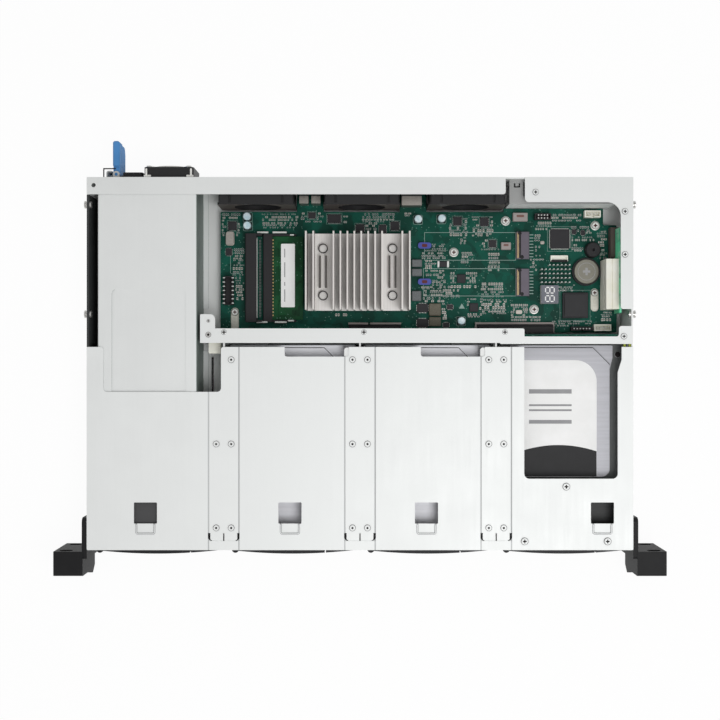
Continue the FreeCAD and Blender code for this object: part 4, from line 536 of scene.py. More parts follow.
# Painted shade: the push pins' sides are dark round their pale tops.
push_pin.paint(rgb(240, 238, 235), rgb(104, 100, 96), push_pin.facing("Z").below(0.4))
dress(nylon, "white_connectors")
dress(push_pin, "heatsink_pins")
dress(latch_blue, "psu_latch")
print("pale and blue mouldings dressed")

# %% [markdown]
# A drive is two metals: a casting below and a pale stamped cover above. Height tells them apart, so
# one finish can serve both. The castings and covers of the middle drives are nearly white, a painted
# light tone for their shaded places under the cover, and the casting of the last drive has a dark
# coat, darkest at its nose.

# %% Drives
DRIVE_TOP = box("drive_4")[1].z
PLATE_LOW = DRIVE_TOP - 2.4
NOSE_REAR = -100.0


def drive_finish(name, casting, nose, cover):
    finish = Finish(name, metallic=0.2, roughness=0.5)
    brushed = finish.ramp(finish.noise(420.0, 3.0, ALONG_X), 0.3, 0.7)
    is_cover = finish.axis("Z").above(PLATE_LOW)
    is_nose = finish.axis("Y").below(NOSE_REAR)
    body_tone = finish.mix(casting, nose, is_nose)
    casting_tone = finish.mix(body_tone, rgb(128, 128, 130), brushed * 0.12)
    cover_tone = finish.mix(shade(cover, 0.84), cover, brushed)
    finish.paint(casting_tone, cover_tone, is_cover)
    finish.feed("Roughness", 0.52 - is_cover * 0.04 + brushed * 0.08)
    finish.bump(brushed, 0.12, 0.05 * MM)
    return finish


# Painted light: the middle drives' castings and covers are nearly white.
painted_light_drive = drive_finish("drive_painted_light", rgb(236, 236, 241), rgb(236, 236, 241), rgb(244, 244, 249))
dark_drive = drive_finish("drive_dark", rgb(96, 99, 98), rgb(40, 41, 41), rgb(190, 190, 196))
dress(painted_light_drive, "drive_2", "drive_3")
dress(dark_drive, "drive_4")
print("drives dressed")

# %% [markdown]
# The rest are small pieces that a bench worker would see: each is modelled in millimetres with a few
# mesh operators. A block is a box between two corners, and a slab is a box over a level rectangle. A
# flat is one rounded face, which thicken raises; plate does both. Soften breaks edges or corners. A
# piece is the finished object: it rides on a body, so it moves when that body moves.

# %% Mesh helpers


def moved(parts, kind):
    """Only the vertices, edges or faces among what an operator returned."""
    return [part for part in parts if isinstance(part, kind)]


def around(x, y, width, depth):
    """The two corners of a rectangle round a place."""
    return (x - width / 2, y - depth / 2), (x + width / 2, y + depth / 2)


def soften(bm, geom, offset, affect="EDGES", segments=1):
    """Break edges or corners, and return the new vertices."""
    return bmesh.ops.bevel(bm, geom=geom, offset=offset * MM, offset_type="OFFSET", affect=affect,
                           segments=segments, profile=0.5, material=-1)["verts"]


def block(bm, low, high, bevel=0.0, finish=0):
    """A box between two corners."""
    size = [(top - bottom) * MM for bottom, top in zip(low, high)]
    middle = [(bottom + top) / 2 * MM for bottom, top in zip(low, high)]
    place = Matrix.Translation(middle) @ Matrix.Diagonal((*size, 1.0))
    verts = bmesh.ops.create_cube(bm, size=1.0, matrix=place)["verts"]
    for face in dict.fromkeys(face for vert in verts for face in vert.link_faces):
        face.material_index = finish
    if bevel:
        soften(bm, list(dict.fromkeys(edge for vert in verts for edge in vert.link_edges)), bevel)


def slab(bm, low, high, base, top, bevel=0.0, finish=0):
    """A box over a level rectangle."""
    block(bm, (*low, base), (*high, top), bevel, finish)


def flat(bm, low, high, height, radius=0.0, rounded=None, segments=5):
    """A level rectangle; the corners that rounded picks, or all of them, get the radius."""
    middle = Vector(((low[0] + high[0]) / 2, (low[1] + high[1]) / 2, height)) * MM
    stretch = Matrix.Diagonal(((high[0] - low[0]) * MM, (high[1] - low[1]) * MM, 1.0, 1.0))
    verts = bmesh.ops.create_grid(bm, x_segments=1, y_segments=1, size=0.5,
                                  matrix=Matrix.Translation(middle) @ stretch)["verts"]
    if radius:
        corners = [vert for vert in verts if rounded is None or rounded(vert.co - middle)]
        verts = soften(bm, corners, radius, "VERTICES", segments)
    return verts[0].link_faces[0]


def thicken(bm, faces, thick, finish=0):
    """Raise level faces into plates."""
    for face in faces:
        face.material_index = finish
    grown = bmesh.ops.extrude_face_region(bm, geom=faces)["geom"]
    bmesh.ops.translate(bm, vec=(0, 0, thick * MM), verts=moved(grown, bmesh.types.BMVert))


def plate(bm, low, high, base, thick, radius=0.0, finish=0):
    """A level rectangle with round corners, raised to a thickness."""
    thicken(bm, [flat(bm, low, high, base, radius)], thick, finish)


def band(bm, face, width):
    """Keep only the outer band of a face."""
    made = bmesh.ops.inset_region(bm, faces=[face], thickness=width * MM, use_boundary=True)["faces"]
    bmesh.ops.delete(bm, geom=[face], context="FACES")
    return made


def cut_off(bm, y, side):
    """Cut away what lies behind a plane across the server, for side 1, or before it, for side -1."""
    everything = bm.verts[:] + bm.edges[:] + bm.faces[:]
    bmesh.ops.bisect_plane(bm, geom=everything, plane_co=(0, y * MM, 0), plane_no=(0, side, 0),
                           clear_outer=True)


def piece(name, bm, finishes, body="chassis"):
    """Make an object of a mesh, and let it ride on a body."""
    bmesh.ops.recalc_face_normals(bm, faces=bm.faces[:])
    mesh = bpy.data.meshes.new(name)
    bm.to_mesh(mesh)
    bm.free()
    for finish in finishes:
        mesh.materials.append(finish.material)
    made = bpy.data.objects.new(name, mesh)
    bpy.context.scene.collection.objects.link(made)
    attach(made, body)
    print(name, "has", len(mesh.polygons), "faces")


print("mesh helpers ready")

# %% [markdown]
# A screw head starts as two rings of edges, the outline and the recess, and the gap between them is
# filled. Extruding the outer ring down and out gives the rim, and extruding the inner ring down gives
# the walls of the recess.

# %% Screw helper
TOP_SHARE = 0.84
ARM_SHARE = 0.32


def circle(bm, middle, radius, height, sides):
    """A ring of edges round a place."""
    place = Matrix.Translation(Vector((*middle, height)) * MM)
    verts = bmesh.ops.create_circle(bm, cap_ends=False, radius=radius * MM, segments=sides,
                                    matrix=place)["verts"]
    return list(dict.fromkeys(edge for vert in verts for edge in vert.link_edges))


def cross(bm, middle, reach, height):
    """A closed cross of edges: one arm's corners, turned four times."""
    half = ARM_SHARE * reach
    verts = []
    for turn in range(4):
        for corner in ((reach, -half), (reach, half), (half, half)):
            spun = Vector(corner) @ Matrix.Rotation(-turn * math.pi / 2, 2)
            verts.append(bm.verts.new(Vector((middle[0] + spun.x, middle[1] + spun.y, height)) * MM))
    return [bm.edges.new((verts[step - 1], verts[step])) for step in range(len(verts))]


def fill(bm, edges, finish=0):
    """Fill a ring of edges, or the gap between two rings."""
    made = bmesh.ops.triangle_fill(bm, edges=edges, use_beauty=True)["geom"]
    for face in moved(made, bmesh.types.BMFace):
        face.material_index = finish


def lower(bm, edges, middle, spread, depth, finish=0):
    """Extrude a ring of edges down and outwards, and return the new ring."""
    grown = bmesh.ops.extrude_edge_only(bm, edges=edges)["geom"]
    verts = moved(grown, bmesh.types.BMVert)
    home = Matrix.Translation(Vector((-middle[0], -middle[1], 0)) * MM)
    bmesh.ops.scale(bm, vec=(spread, spread, 1), space=home, verts=verts)
    bmesh.ops.translate(bm, vec=(0, 0, -depth * MM), verts=verts)
    for face in moved(grown, bmesh.types.BMFace):
        face.material_index = finish
    return [edge for edge in moved(grown, bmesh.types.BMEdge) if all(vert in verts for vert in edge.verts)]


def screw(bm, middle, base, radius, height, reach, crossed=True):
    """A screw head: the second finish is its rim, the third its recess."""
    outer = circle(bm, middle, TOP_SHARE * radius, base + height, 20)
    if crossed:
        inner = cross(bm, middle, reach, base + height)
    else:
        inner = circle(bm, middle, reach, base + height, 10)
    fill(bm, outer + inner)
    rim = lower(bm, outer, middle, 1 / TOP_SHARE, 0.4 * height, 1)
    fill(bm, lower(bm, rim, middle, 1.0, 0.6 * height, 1))
    fill(bm, lower(bm, inner, middle, 0.9, 0.8 * height, 2), 2)


def ring(bm, middle, inner, outer, top, depth):
    """A flat ring with walls and an underside."""
    edges = circle(bm, middle, outer, top, 24) + circle(bm, middle, inner, top, 24)
    fill(bm, edges)
    fill(bm, lower(bm, edges, middle, 1.0, depth))


print("screw helper ready")

# %% [markdown]
# Low pan screws hold the cover to the dividers, two at each row. Cross-recess screws hold the last
# bay's shield, the corner plate and the bracket, and flush ones the crossbar. Two rivets sit on the
# crossbar's leg, and a thin dark plate, painted shade for a slit, marks the front of each pressed
# channel. The grey rims and dark recesses of the heads are painted shade. A screw's sizes are its
# radius, its height and the reach of its recess.

# %% Chassis screws
DIVIDERS = (-BAY_PITCH, 0.0, BAY_PITCH)
CHANNEL_FLOOR = LID_TOP - CHANNEL_DIP
SCREW_ROWS = (3.0, -63.3, -129.3)
SCREW_SIDE = 5.9
PAN = (2.6, 0.9, 0.9)
bm = bmesh.new()
for divider in DIVIDERS:
    for row in SCREW_ROWS:
        for side in (-SCREW_SIDE, SCREW_SIDE):
            if (divider, row, side) != (DIVIDERS[0], SCREW_ROWS[0], -SCREW_SIDE):
                screw(bm, (divider + side, row), CHANNEL_FLOOR, *PAN, crossed=False)
piece("cover_screws", bm, (zinc, rim_steel, recess_dark))

LARGE, MEDIUM, FLUSH = (3.0, 1.0, 1.5), (2.5, 0.9, 1.3), (2.2, 0.25, 1.5)
CORNER_X = box("corner_plate")[1].x
BRACKET_TOP = box("backplane_bracket")[1].z
CROSSED = ((LARGE, LID_TOP, ((162.2, -96.8), (129.5, -139.8), (194.7, -139.8))),
           (MEDIUM, LID_TOP, ((138.1, 134.8), (CORNER_X - 6.6, 119.7), (CORNER_X - 6.6, 85.8))),
           (MEDIUM, BRACKET_TOP, ((CORNER_X - 7.2, 21.5),)),
           (FLUSH, LID_TOP, ((-107.0, 24.7), (3.1, 24.7), (114.0, 24.7))))
bm = bmesh.new()
for sizes, base, places in CROSSED:
    for middle in places:
        screw(bm, middle, base, *sizes)
piece("cross_screws", bm, (zinc, rim_steel, recess_dark))

RIVETS = ((33.5, 1.3), (22.7, 2.25))
RIVET_X, RIVET_HEIGHT = -119.3, 0.5
bm = bmesh.new()
for y, radius in RIVETS:
    screw(bm, (RIVET_X, y), LID_TOP, radius, RIVET_HEIGHT, 0.45 * radius, crossed=False)
piece("crossbar_rivets", bm, (steel, rim_steel, recess_dark))

SLIT_HALF, SLIT_FRONT, SLIT_REAR = 0.4, -139.9, -133.9
# Painted shade: a thin dark plate stands for the shade in a slit at each channel's front.
bm = bmesh.new()
for divider in DIVIDERS:
    plate(bm, (divider - SLIT_HALF, SLIT_FRONT), (divider + SLIT_HALF, SLIT_REAR),
          CHANNEL_FLOOR, thick=0.05, radius=0.3)
piece("channel_slits", bm, (recess_dark,))

# %% [markdown]
# Two bent legs of the finger guard lie on the small fan of the power supply, each with a foot against
# the rear wall. They slide out with the supply, so they ride on its body.

# %% Guard legs
FAN_LOW, FAN_HIGH = box("psu_fan_frame")
WALL_REAR = FAN_HIGH.y - 8.3
LEG_AND_FOOT = ((1.2, 2.7, 7.0, 1.0), (0.0, 5.6, 2.0, 0.8))
bm = bmesh.new()
for edge, inward in ((FAN_LOW.x, 1), (FAN_HIGH.x, -1)):
    for near, far, length, height in LEG_AND_FOOT:
        left, right = sorted((edge + inward * near, edge + inward * far))
        slab(bm, (left, WALL_REAR), (right, WALL_REAR + length), FAN_HIGH.z, FAN_HIGH.z + height, 0.3)
piece("guard_legs", bm, (pin_white,), "supply")

# %% [markdown]
# The latch has a raised pad for the thumb on its upper half, and a thin wire hook passes over its
# root.

# %% Latch pad and hook
LATCH_LOW, LATCH_HIGH = box("psu_latch")
PAD_LENGTH, PAD_DROP, PAD_ROUND = 20.0, 12.0, 1.1
bm = bmesh.new()
block(bm, (LATCH_LOW.x - 0.1, LATCH_HIGH.y - PAD_LENGTH, LATCH_HIGH.z - PAD_DROP),
      (LATCH_HIGH.x + 0.1, LATCH_HIGH.y + 0.6, LATCH_HIGH.z + 0.3), PAD_ROUND)
piece("latch_pad", bm, (latch_blue,), "supply_latch")

WIRE = 0.9
HOOK_LEFT, HOOK_RIGHT, HOOK_TURN = LATCH_LOW.x - 7.4, LATCH_LOW.x + 2.6, 155.1
hook_corners = ((HOOK_LEFT, WALL_REAR), (HOOK_LEFT + WIRE, WALL_REAR), (HOOK_LEFT + WIRE, HOOK_TURN - WIRE),
                (HOOK_RIGHT, HOOK_TURN - WIRE), (HOOK_RIGHT, HOOK_TURN), (HOOK_LEFT, HOOK_TURN))
bm = bmesh.new()
hook_verts = [bm.verts.new(Vector((x, y, LATCH_HIGH.z + WIRE)) * MM) for x, y in hook_corners]
thicken(bm, [bm.faces.new(hook_verts)], WIRE)
soften(bm, bm.edges[:], 0.2)
piece("latch_hook", bm, (recess_dark,), "supply")

# %% [markdown]
# Each window in the cover has a pressed tab in front of it, outlined by a raised bead in the shape of
# a U. The bead is a rounded rectangle, inset to a band and cut open at the window's edge, so one
# bisecting plane opens all four. Its sloped faces are grey, a painted shade.

# %% Beads round the latch windows
WINDOW_SHIFT = {1: -8.0, 2: -1.5, 3: -1.3, 4: 29.9}
TAB_HALF, TAB_FRONT, TAB_ROUND = 7.9, -134.6, 2.0
WINDOW_FRONT, PAST_WINDOW = -125.95, 6.0
BEAD_WIDTH, BEAD_HEIGHT, BEAD_SLOPE = 1.5, 0.5, 0.48
SHARP = 1.0
bm = bmesh.new()
for bay in BAYS:
    middle = bay_x(bay) + WINDOW_SHIFT[bay]
    tab = flat(bm, (middle - TAB_HALF, TAB_FRONT), (middle + TAB_HALF, WINDOW_FRONT + PAST_WINDOW),
               LID_TOP, TAB_ROUND)
    band(bm, tab, BEAD_WIDTH)
cut_off(bm, WINDOW_FRONT, 1)
thicken(bm, bm.faces[:], BEAD_HEIGHT)
crest = [edge for edge in bm.edges if all(vert.co.z > (LID_TOP + 0.4) * MM for vert in edge.verts)
         and edge.calc_face_angle(0.0) > SHARP]
soften(bm, crest, BEAD_SLOPE)
bm.normal_update()
# Painted shade: the bead's sloped faces get the grey finish.
for face in bm.faces:
    face.material_index = 0 if abs(face.normal.z) > 0.9 else 1
piece("window_beads", bm, (zinc_cover, bead_grey))

# %% [markdown]
# A thin dark sheet lines the narrow gap beside the power supply. It is one sheet, folded up the
# wall and over its rim, so a profile of four points is extruded along the gap and then given its
# thickness. A short black strip on the floor behind the first tray is a painted shadow of the gap
# between two sheets.

# %% Dark sheet in the gap and shadow strip on the floor
WALL_OUTSIDE, WALL_INSIDE = -215.2, -213.5
FILM_FRONT, FILM_REAR = 12.0, 133.0
FILM_FLOOR, FILM_RIGHT, FILM_THICK = 2.8, -207.1, 0.25
RIM_TOP = max(vert.co.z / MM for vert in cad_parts["base_tray"].data.vertices
              if vert.co.x / MM < WALL_INSIDE + 0.5 and FILM_FRONT < vert.co.y / MM < FILM_REAR) + 0.1
film_corners = ((WALL_OUTSIDE, RIM_TOP), (WALL_INSIDE, RIM_TOP), (WALL_INSIDE, FILM_FLOOR),
                (FILM_RIGHT, FILM_FLOOR))
bm = bmesh.new()
profile = [bm.verts.new(Vector((x, FILM_FRONT, z)) * MM) for x, z in film_corners]
fold = [bm.edges.new(pair) for pair in zip(profile, profile[1:])]
film_rear = moved(bmesh.ops.extrude_edge_only(bm, edges=fold)["geom"], bmesh.types.BMVert)
bmesh.ops.translate(bm, vec=(0, (FILM_REAR - FILM_FRONT) * MM, 0), verts=film_rear)
bmesh.ops.recalc_face_normals(bm, faces=bm.faces[:])
bmesh.ops.solidify(bm, geom=bm.faces[:], thickness=FILM_THICK * MM)
piece("dark_gap_sheet", bm, (film_black,))

# Painted shadow: a black strip where two floor sheets meet.
FLOOR_SHADOW_LOW, FLOOR_SHADOW_HIGH = (-122.0, -40.0, 1.2), (-120.4, 5.0, 1.6)
bm = bmesh.new()
block(bm, FLOOR_SHADOW_LOW, FLOOR_SHADOW_HIGH, 0.15)
piece("floor_shadow_strip", bm, (gloss_black,))

# %% [markdown]
# Board parts must not stand in each other. A set of small square cells remembers which places are
# taken: it is filled from the triangles of the model's own board parts, and then by each part as it
# is placed.

# %% Room on the board
CELL = 0.5
TALLEST = 30
taken = set()


def cells(low, high):
    """The square cells under a rectangle."""
    return [(column, row) for column in range(math.floor(low[0] / CELL), math.ceil(high[0] / CELL))
            for row in range(math.floor(low[1] / CELL), math.ceil(high[1] / CELL))]


def take(low, high, room=0.4):
    taken.update(cells((low[0] - room, low[1] - room), (high[0] + room, high[1] + room)))


def is_free(low, high):
    return not any(cell in taken for cell in cells(low, high))


BOARD_NODES = ("heatsink", "heatsink_pins", "memory_sockets", "memory_module", "card_sockets", "coin_cell",
               "buzzer", "capacitors", "inductors", "chips", "segment_display", "board_connectors",
               "white_connectors", "riser_card", "io_ports", "slot_cage", "crossbar", "fan_frame_1",
               "fan_frame_2", "fan_frame_3")
for node in BOARD_NODES:
    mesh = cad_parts[node].data
    for polygon in mesh.polygons:
        xs, ys, zs = zip(*[mesh.vertices[index].co / MM for index in polygon.vertices])
        if max(zs) > BOARD_TOP + 0.1 and min(zs) < BOARD_TOP + TALLEST:
            take((min(xs), min(ys)), (max(xs), max(ys)))
print(len(taken), "cells are taken by the model's own parts")

# %% [markdown]
# Screws hold the board to its spacers. Each sits on a bare ring of tinned copper, which a washer-thin
# screw shape gives. At the two oblong slots the tinned pad lies lower, on the spacer, so only the
# screw is added there.

# %% Board screws
PAD_TOP = box("mainboard")[0].z
RING_PLACES = ((132.6, 32.9), (90.4, 7.3), (17.4, 11.2), (67.2, 79.4))
SLOT_PLACES = ((17.7, 65.8), (311.0, 81.6))
TIN_RING, RING_SCREW, SLOT_SCREW = (3.75, 0.12, 2.9), (3.1, 1.6, 1.5), (2.9, 1.6, 1.4)
RING_ROOM = 8
SLOT_HALF, SLOT_AHEAD, SLOT_BEHIND = 5, 16, 6
bm = bmesh.new()
for place in RING_PLACES:
    x, y = spot(*place)
    screw(bm, (x, y), BOARD_TOP, *TIN_RING, crossed=False)
    screw(bm, (x, y), BOARD_TOP + 0.1, *RING_SCREW)
    take(*around(x, y, RING_ROOM, RING_ROOM))
for place in SLOT_PLACES:
    x, y = spot(*place)
    screw(bm, (x, y), PAD_TOP, *SLOT_SCREW)
    take((x - SLOT_HALF, y - SLOT_AHEAD), (x + SLOT_HALF, y + SLOT_BEHIND))
piece("board_screws", bm, (pin_white, solder, recess_red))

# %% [markdown]
# Chips differ in their feet. Flat ones have pads that barely show at their edges, power switches have
# wider feet, and the square controller has rows of bent legs. Each has a plain top with broken edges.

# %% Chips and power switches
FLAT_CHIPS = ((129.6, 7.6, 7, 7), (107.7, 8.1, 7, 7), (101.1, 25.9, 6, 6), (248.1, 2.9, 6, 5),
              (230.0, 5.6, 11, 7), (312.9, 11.4, 7, 7), (180.6, 11.4, 7, 7), (209.0, 13.5, 7, 7),
              (190.5, 13.9, 6, 7), (27.5, 17.0, 3.4, 4), (34.7, 16.3, 3.4, 4), (315.7, 32.6, 5, 6),
              (135.7, 77.4, 5, 4), (138.9, 92.1, 5, 4))
SWITCHES = ((158.1, 78.3, 9, 7), (158.1, 90.5, 9, 7))
CONTROLLER_LOW, CONTROLLER_HIGH = (154.9, 93.6), (170.5, 109.2)
CONTROLLER_ROOM = (154.0, 92.7), (171.4, 110.1)
MOULD_LOW, MOULD_HIGH = (166.3, 38.4), (184.1, 56.2)
FOOT_SHARE, FOOT_THICK, CHIP_BEVEL = 0.45, 0.2, 0.12
chip_bm = bmesh.new()


def legs(low, high, pitch, reach, thick):
    """Rows of tinned feet along the four sides of a chip."""
    width = FOOT_SHARE * pitch
    for run, side in ((0, 1), (1, 0)):
        span = high[run] - low[run]
        count = int((span - pitch) / pitch)
        for step in range(count):
            middle = low[run] + (span - (count - 1) * pitch) / 2 + step * pitch
            for edge in (low[side] - reach, high[side]):
                corners = [(middle - width / 2, edge), (middle + width / 2, edge + reach)]
                if run:
                    corners = [corner[::-1] for corner in corners]
                slab(chip_bm, *corners, BOARD_TOP, BOARD_TOP + thick, finish=1)


def chip(right, rear, width, depth, height, pitch, reach):
    """A moulded body with its feet, and the room it needs."""
    low, high = around(*spot(right, rear), width, depth)
    slab(chip_bm, low, high, BOARD_TOP, BOARD_TOP + height, CHIP_BEVEL)
    legs(low, high, pitch, reach, FOOT_THICK)
    take((low[0] - reach, low[1] - reach), (high[0] + reach, high[1] + reach))


for place_and_size in FLAT_CHIPS:
    chip(*place_and_size, height=1.2, pitch=0.65, reach=0.35)
for place_and_size in SWITCHES:
    chip(*place_and_size, height=1.6, pitch=1.3, reach=0.6)
legs(CONTROLLER_LOW, CONTROLLER_HIGH, pitch=0.6, reach=0.9, thick=0.25)
take(*CONTROLLER_ROOM)
plate(chip_bm, MOULD_LOW, MOULD_HIGH, box("chips")[1].z - 0.02, thick=0.2, radius=0.5, finish=2)
piece("board_chips", chip_bm, (chip_black, solder, resistor_black))

# %% [markdown]
# Two blue coils, two boxed parts with a red-brown middle, a part with white ends and three metal
# crystal cans stand between the chips. A coil has a flange above and below its winding, so three
# rounded plates of different width make one.

# %% Coils, boxes and crystals
COILS = ((156.5, 27.6), (156.5, 57.0))
COIL_PLATES = ((0.0, 0.7, 4.8), (0.7, 2.4, 4.2), (2.4, 3.2, 5.4))
COIL_HEIGHT, COIL_DEPTH, COIL_ROUND = 3.2, 0.46, 0.4
bm = bmesh.new()
for place in COILS:
    x, y = spot(*place)
    for low, high, half in COIL_PLATES:
        deep = COIL_DEPTH * half
        plate(bm, (x - half, y - deep), (x + half, y + deep), BOARD_TOP + low, high - low, COIL_ROUND * half)
    plate(bm, *around(x, y, 4.4, 2.6), BOARD_TOP + COIL_HEIGHT, thick=0.1, radius=0.9, finish=1)
    take(*around(x, y, 10.8, 5.0))
piece("blue_coils", bm, (coil_blue, coil_red))

BOXES = ((78.8, 4.5, 12, 7), (90.4, 28.0, 8, 6))
BOX_TOP = BOARD_TOP + 3.4
bm = bmesh.new()
for right, rear, width, depth in BOXES:
    x, y = spot(right, rear)
    low, high = around(x, y, width, depth)
    slab(bm, low, high, BOARD_TOP, BOX_TOP, 0.4)
    plate(bm, (x - width / 4, y - 0.1), (x + width / 4, y + depth / 4), BOX_TOP,
          thick=0.1, radius=0.6, finish=1)
    take(low, high)
piece("boxed_parts", bm, (box_pink, box_brown))

CRYSTALS = ((314.8, 21.7, 7, 11.5, 2.6), (79.5, 81.5, 5, 3.2, 0.9), (60.5, 25.0, 3.2, 2.5, 0.8))
BRIM, BRIM_HEIGHT = 0.5, 0.4
bm = bmesh.new()
for right, rear, width, depth, thick in CRYSTALS:
    x, y = spot(right, rear)
    narrow = min(width, depth)
    plate(bm, *around(x, y, width, depth), BOARD_TOP, BRIM_HEIGHT, 0.3 * narrow)
    plate(bm, *around(x, y, width - 2 * BRIM, depth - 2 * BRIM), BOARD_TOP + BRIM_HEIGHT,
          thick, 0.25 * narrow)
    take(*around(x, y, width, depth))
piece("crystal_cans", bm, (port_steel,))

WHITE_ENDED = (141.3, 42.7)
END_OFFSET = 3.9
bm = bmesh.new()
x, y = spot(*WHITE_ENDED)
slab(bm, *around(x, y, 6.4, 4.8), BOARD_TOP, BOARD_TOP + 1.9, 0.2)
for side in (-END_OFFSET, END_OFFSET):
    slab(bm, *around(x + side, y, 1.6, 5.0), BOARD_TOP, BOARD_TOP + 2.0, 0.2, 1)
take(*around(x, y, 9.6, 5.2))
piece("white_ended_part", bm, (chip_black, silk_white))

# %% [markdown]
# A block of tinned pins stands bare beside the display, eight columns by five rows, with a corner
# left empty. Headers show the ends of their pins too. A pin is a square wire whose end is nipped to a
# blunt point, which a bevel gives. The cell has a ring and a plus sign pressed into its lid, in a paler
# grey that is a painted highlight, and a dark ring of painted shade lies round each push pin of the
# heatsink.

# %% Pins, cell and shade rings
PIN = 1.0
PIN_HEIGHT = 9.0
PIN_COLUMNS, PIN_ROWS, BARE_COLUMNS = 8, 5, 2
HEADER_TOP = 16.0
HEADERS = ((148.2, 119.0, 4, 2, 2.4), (179.7, 28.2, 6, 1, 2.5), (188.5, 121.2, 4, 1, 2.5),
           (196.6, 29.0, 5, 1, 2.2))
PLUG_X, PLUG_Y, PLUG_PITCH, PLUG_TOP = (-110.0, -102.8), 59.0, 3.4, 18.2
pin_bm = bmesh.new()


def pin(x, y, base, top):
    slab(pin_bm, *around(x, y, PIN, PIN), base, top, 0.16)


for column in range(PIN_COLUMNS):
    for row in range(PIN_ROWS):
        if row < PIN_ROWS - 1 or column >= BARE_COLUMNS:
            pin(*spot(62.0 - column * 3.2, 57.7 - row * 3.5), BOARD_TOP, BOARD_TOP + PIN_HEIGHT)
take(spot(64.5, 59.0), spot(37.0, 42.5))
for x, y, columns, rows, pitch in HEADERS:
    for column in range(columns):
        for row in range(rows):
            pin(x + (column - (columns - 1) / 2) * pitch, y + (row - (rows - 1) / 2) * pitch,
                HEADER_TOP - 2.0, HEADER_TOP + 0.5)
for row in range(7):
    for x in PLUG_X:
        slab(pin_bm, *around(x, PLUG_Y + (row - 3) * PLUG_PITCH, 1.8, 0.8), PLUG_TOP - 0.7, PLUG_TOP, 0.1)
piece("contact_pins", pin_bm, (pin_tin,))

CELL_LOW, CELL_HIGH = box("coin_cell")
cell_middle = ((CELL_LOW.x + CELL_HIGH.x) / 2, (CELL_LOW.y + CELL_HIGH.y) / 2)
EMBOSS_TOP, EMBOSS_DEPTH = CELL_HIGH.z + 0.12, 0.2
bm = bmesh.new()
ring(bm, cell_middle, inner=6.8, outer=7.2, top=EMBOSS_TOP, depth=EMBOSS_DEPTH)
plus = cross(bm, cell_middle, reach=3.0, height=EMBOSS_TOP)
fill(bm, plus)
fill(bm, lower(bm, plus, cell_middle, 1.0, EMBOSS_DEPTH))
piece("cell_embossing", bm, (rim_steel,))

PIN_SHADE_TOP = box("heatsink_pins")[1].z - 0.3
PIN_SHADE_RINGS = [(x, y) for x in (-29.8, 26.3) for y in (54.8, 92.8)]
bm = bmesh.new()
# Painted shade: a dark ring round each push pin, in the gap of its hole.
for middle in PIN_SHADE_RINGS:
    ring(bm, middle, inner=3.2, outer=3.85, top=PIN_SHADE_TOP, depth=4.0)
piece("pin_shade_rings", bm, (recess_dark,))

# %% [markdown]
# The status display has two digits, one above the other and lying on their sides. Each digit is seven
# pale bars behind a grey face, so the bars are thin plates with nipped ends, three across and four
# along.

# %% Display digits
DISPLAY_LOW, DISPLAY_HIGH = box("segment_display")
display_middle = (DISPLAY_LOW + DISPLAY_HIGH) / 2
WINDOW_FLOOR = DISPLAY_HIGH.z - 0.3
DIGIT_OFFSET = 3.4
BARS = [(x, 0.0, 0.9, 3.4) for x in (-3.5, 0.0, 3.5)]
BARS += [(x, y, 2.4, 0.9) for x in (-1.75, 1.75) for y in (-2.3, 2.3)]
bm = bmesh.new()
for digit in (-DIGIT_OFFSET, DIGIT_OFFSET):
    for x, y, width, depth in BARS:
        plate(bm, *around(display_middle.x + x, display_middle.y + digit + y, width, depth),
              WINDOW_FLOOR, thick=0.12, radius=0.3)
piece("display_digits", bm, (paper_white,))

# %% [markdown]
# The memory module lies flat in its socket under a white label, with gold pads along its edge. Sprung
# steel arms hold its corners, and the second, empty socket shows its row of contacts. The storage
# sockets have rows of gold contacts too.

# %% Memory label, pads and clips
MODULE_LOW, MODULE_HIGH = box("memory_module")
MODULE_TOP = MODULE_HIGH.z
PAPER, THIN_INK = 0.08, 0.03
LABEL_BARS = ((50.0, 60.0), (63.0, 66.0), (70.0, 82.0), (86.0, 93.0))
bm = bmesh.new()
plate(bm, (-64.0, 45.6), (-52.8, 97.0), MODULE_TOP, PAPER, 0.8)
for low, high in LABEL_BARS:
    plate(bm, (-61.4, low), (-60.6, high), MODULE_TOP + PAPER, THIN_INK, finish=1)
piece("memory_label", bm, (paper_white, paper_grey))

CLIPS = (((-83.4, 105.6), (-74.3, 107.0), 0.2), ((-70.9, 105.6), (-59.4, 107.0), 0.2),
         ((-56.9, 103.6), (-53.5, 104.8), 0.2), ((-84.0, 32.8), (-75.0, 34.2), 0.2),
         ((-69.0, 32.8), (-59.4, 34.2), 0.2), ((-58.5, 34.1), (-53.5, 35.3), 0.2),
         ((-83.9, 37.0), (-83.2, 102.0), 0.1))
bm = bmesh.new()
for low, high, bevel in CLIPS:
    slab(bm, low, high, MODULE_TOP - 0.8, MODULE_TOP + 0.2, bevel)
piece("memory_clips", bm, (pin_tin,))

CARD_TOP = box("card_sockets")[1].z
CARD_ROWS = ((85.6, 106.0), (55.6, 76.0))
CARD_CONTACTS, MODULE_PADS, SOCKET_CONTACTS = 32, 24, 52
bm = bmesh.new()
for step in range(MODULE_PADS):
    y = 39.0 + step * 2.65
    plate(bm, (MODULE_LOW.x + 3.9, y - 0.6), (MODULE_LOW.x + 4.8, y + 0.6), MODULE_TOP,
          thick=0.05, radius=0.2)
for low, high in CARD_ROWS:
    for step in range(CARD_CONTACTS):
        y = low + (high - low) * (step + 0.5) / CARD_CONTACTS
        slab(bm, (127.4, y - 0.22), (128.9, y + 0.22), CARD_TOP - 0.4, CARD_TOP + 0.08)
piece("edge_contacts", bm, (gold,))

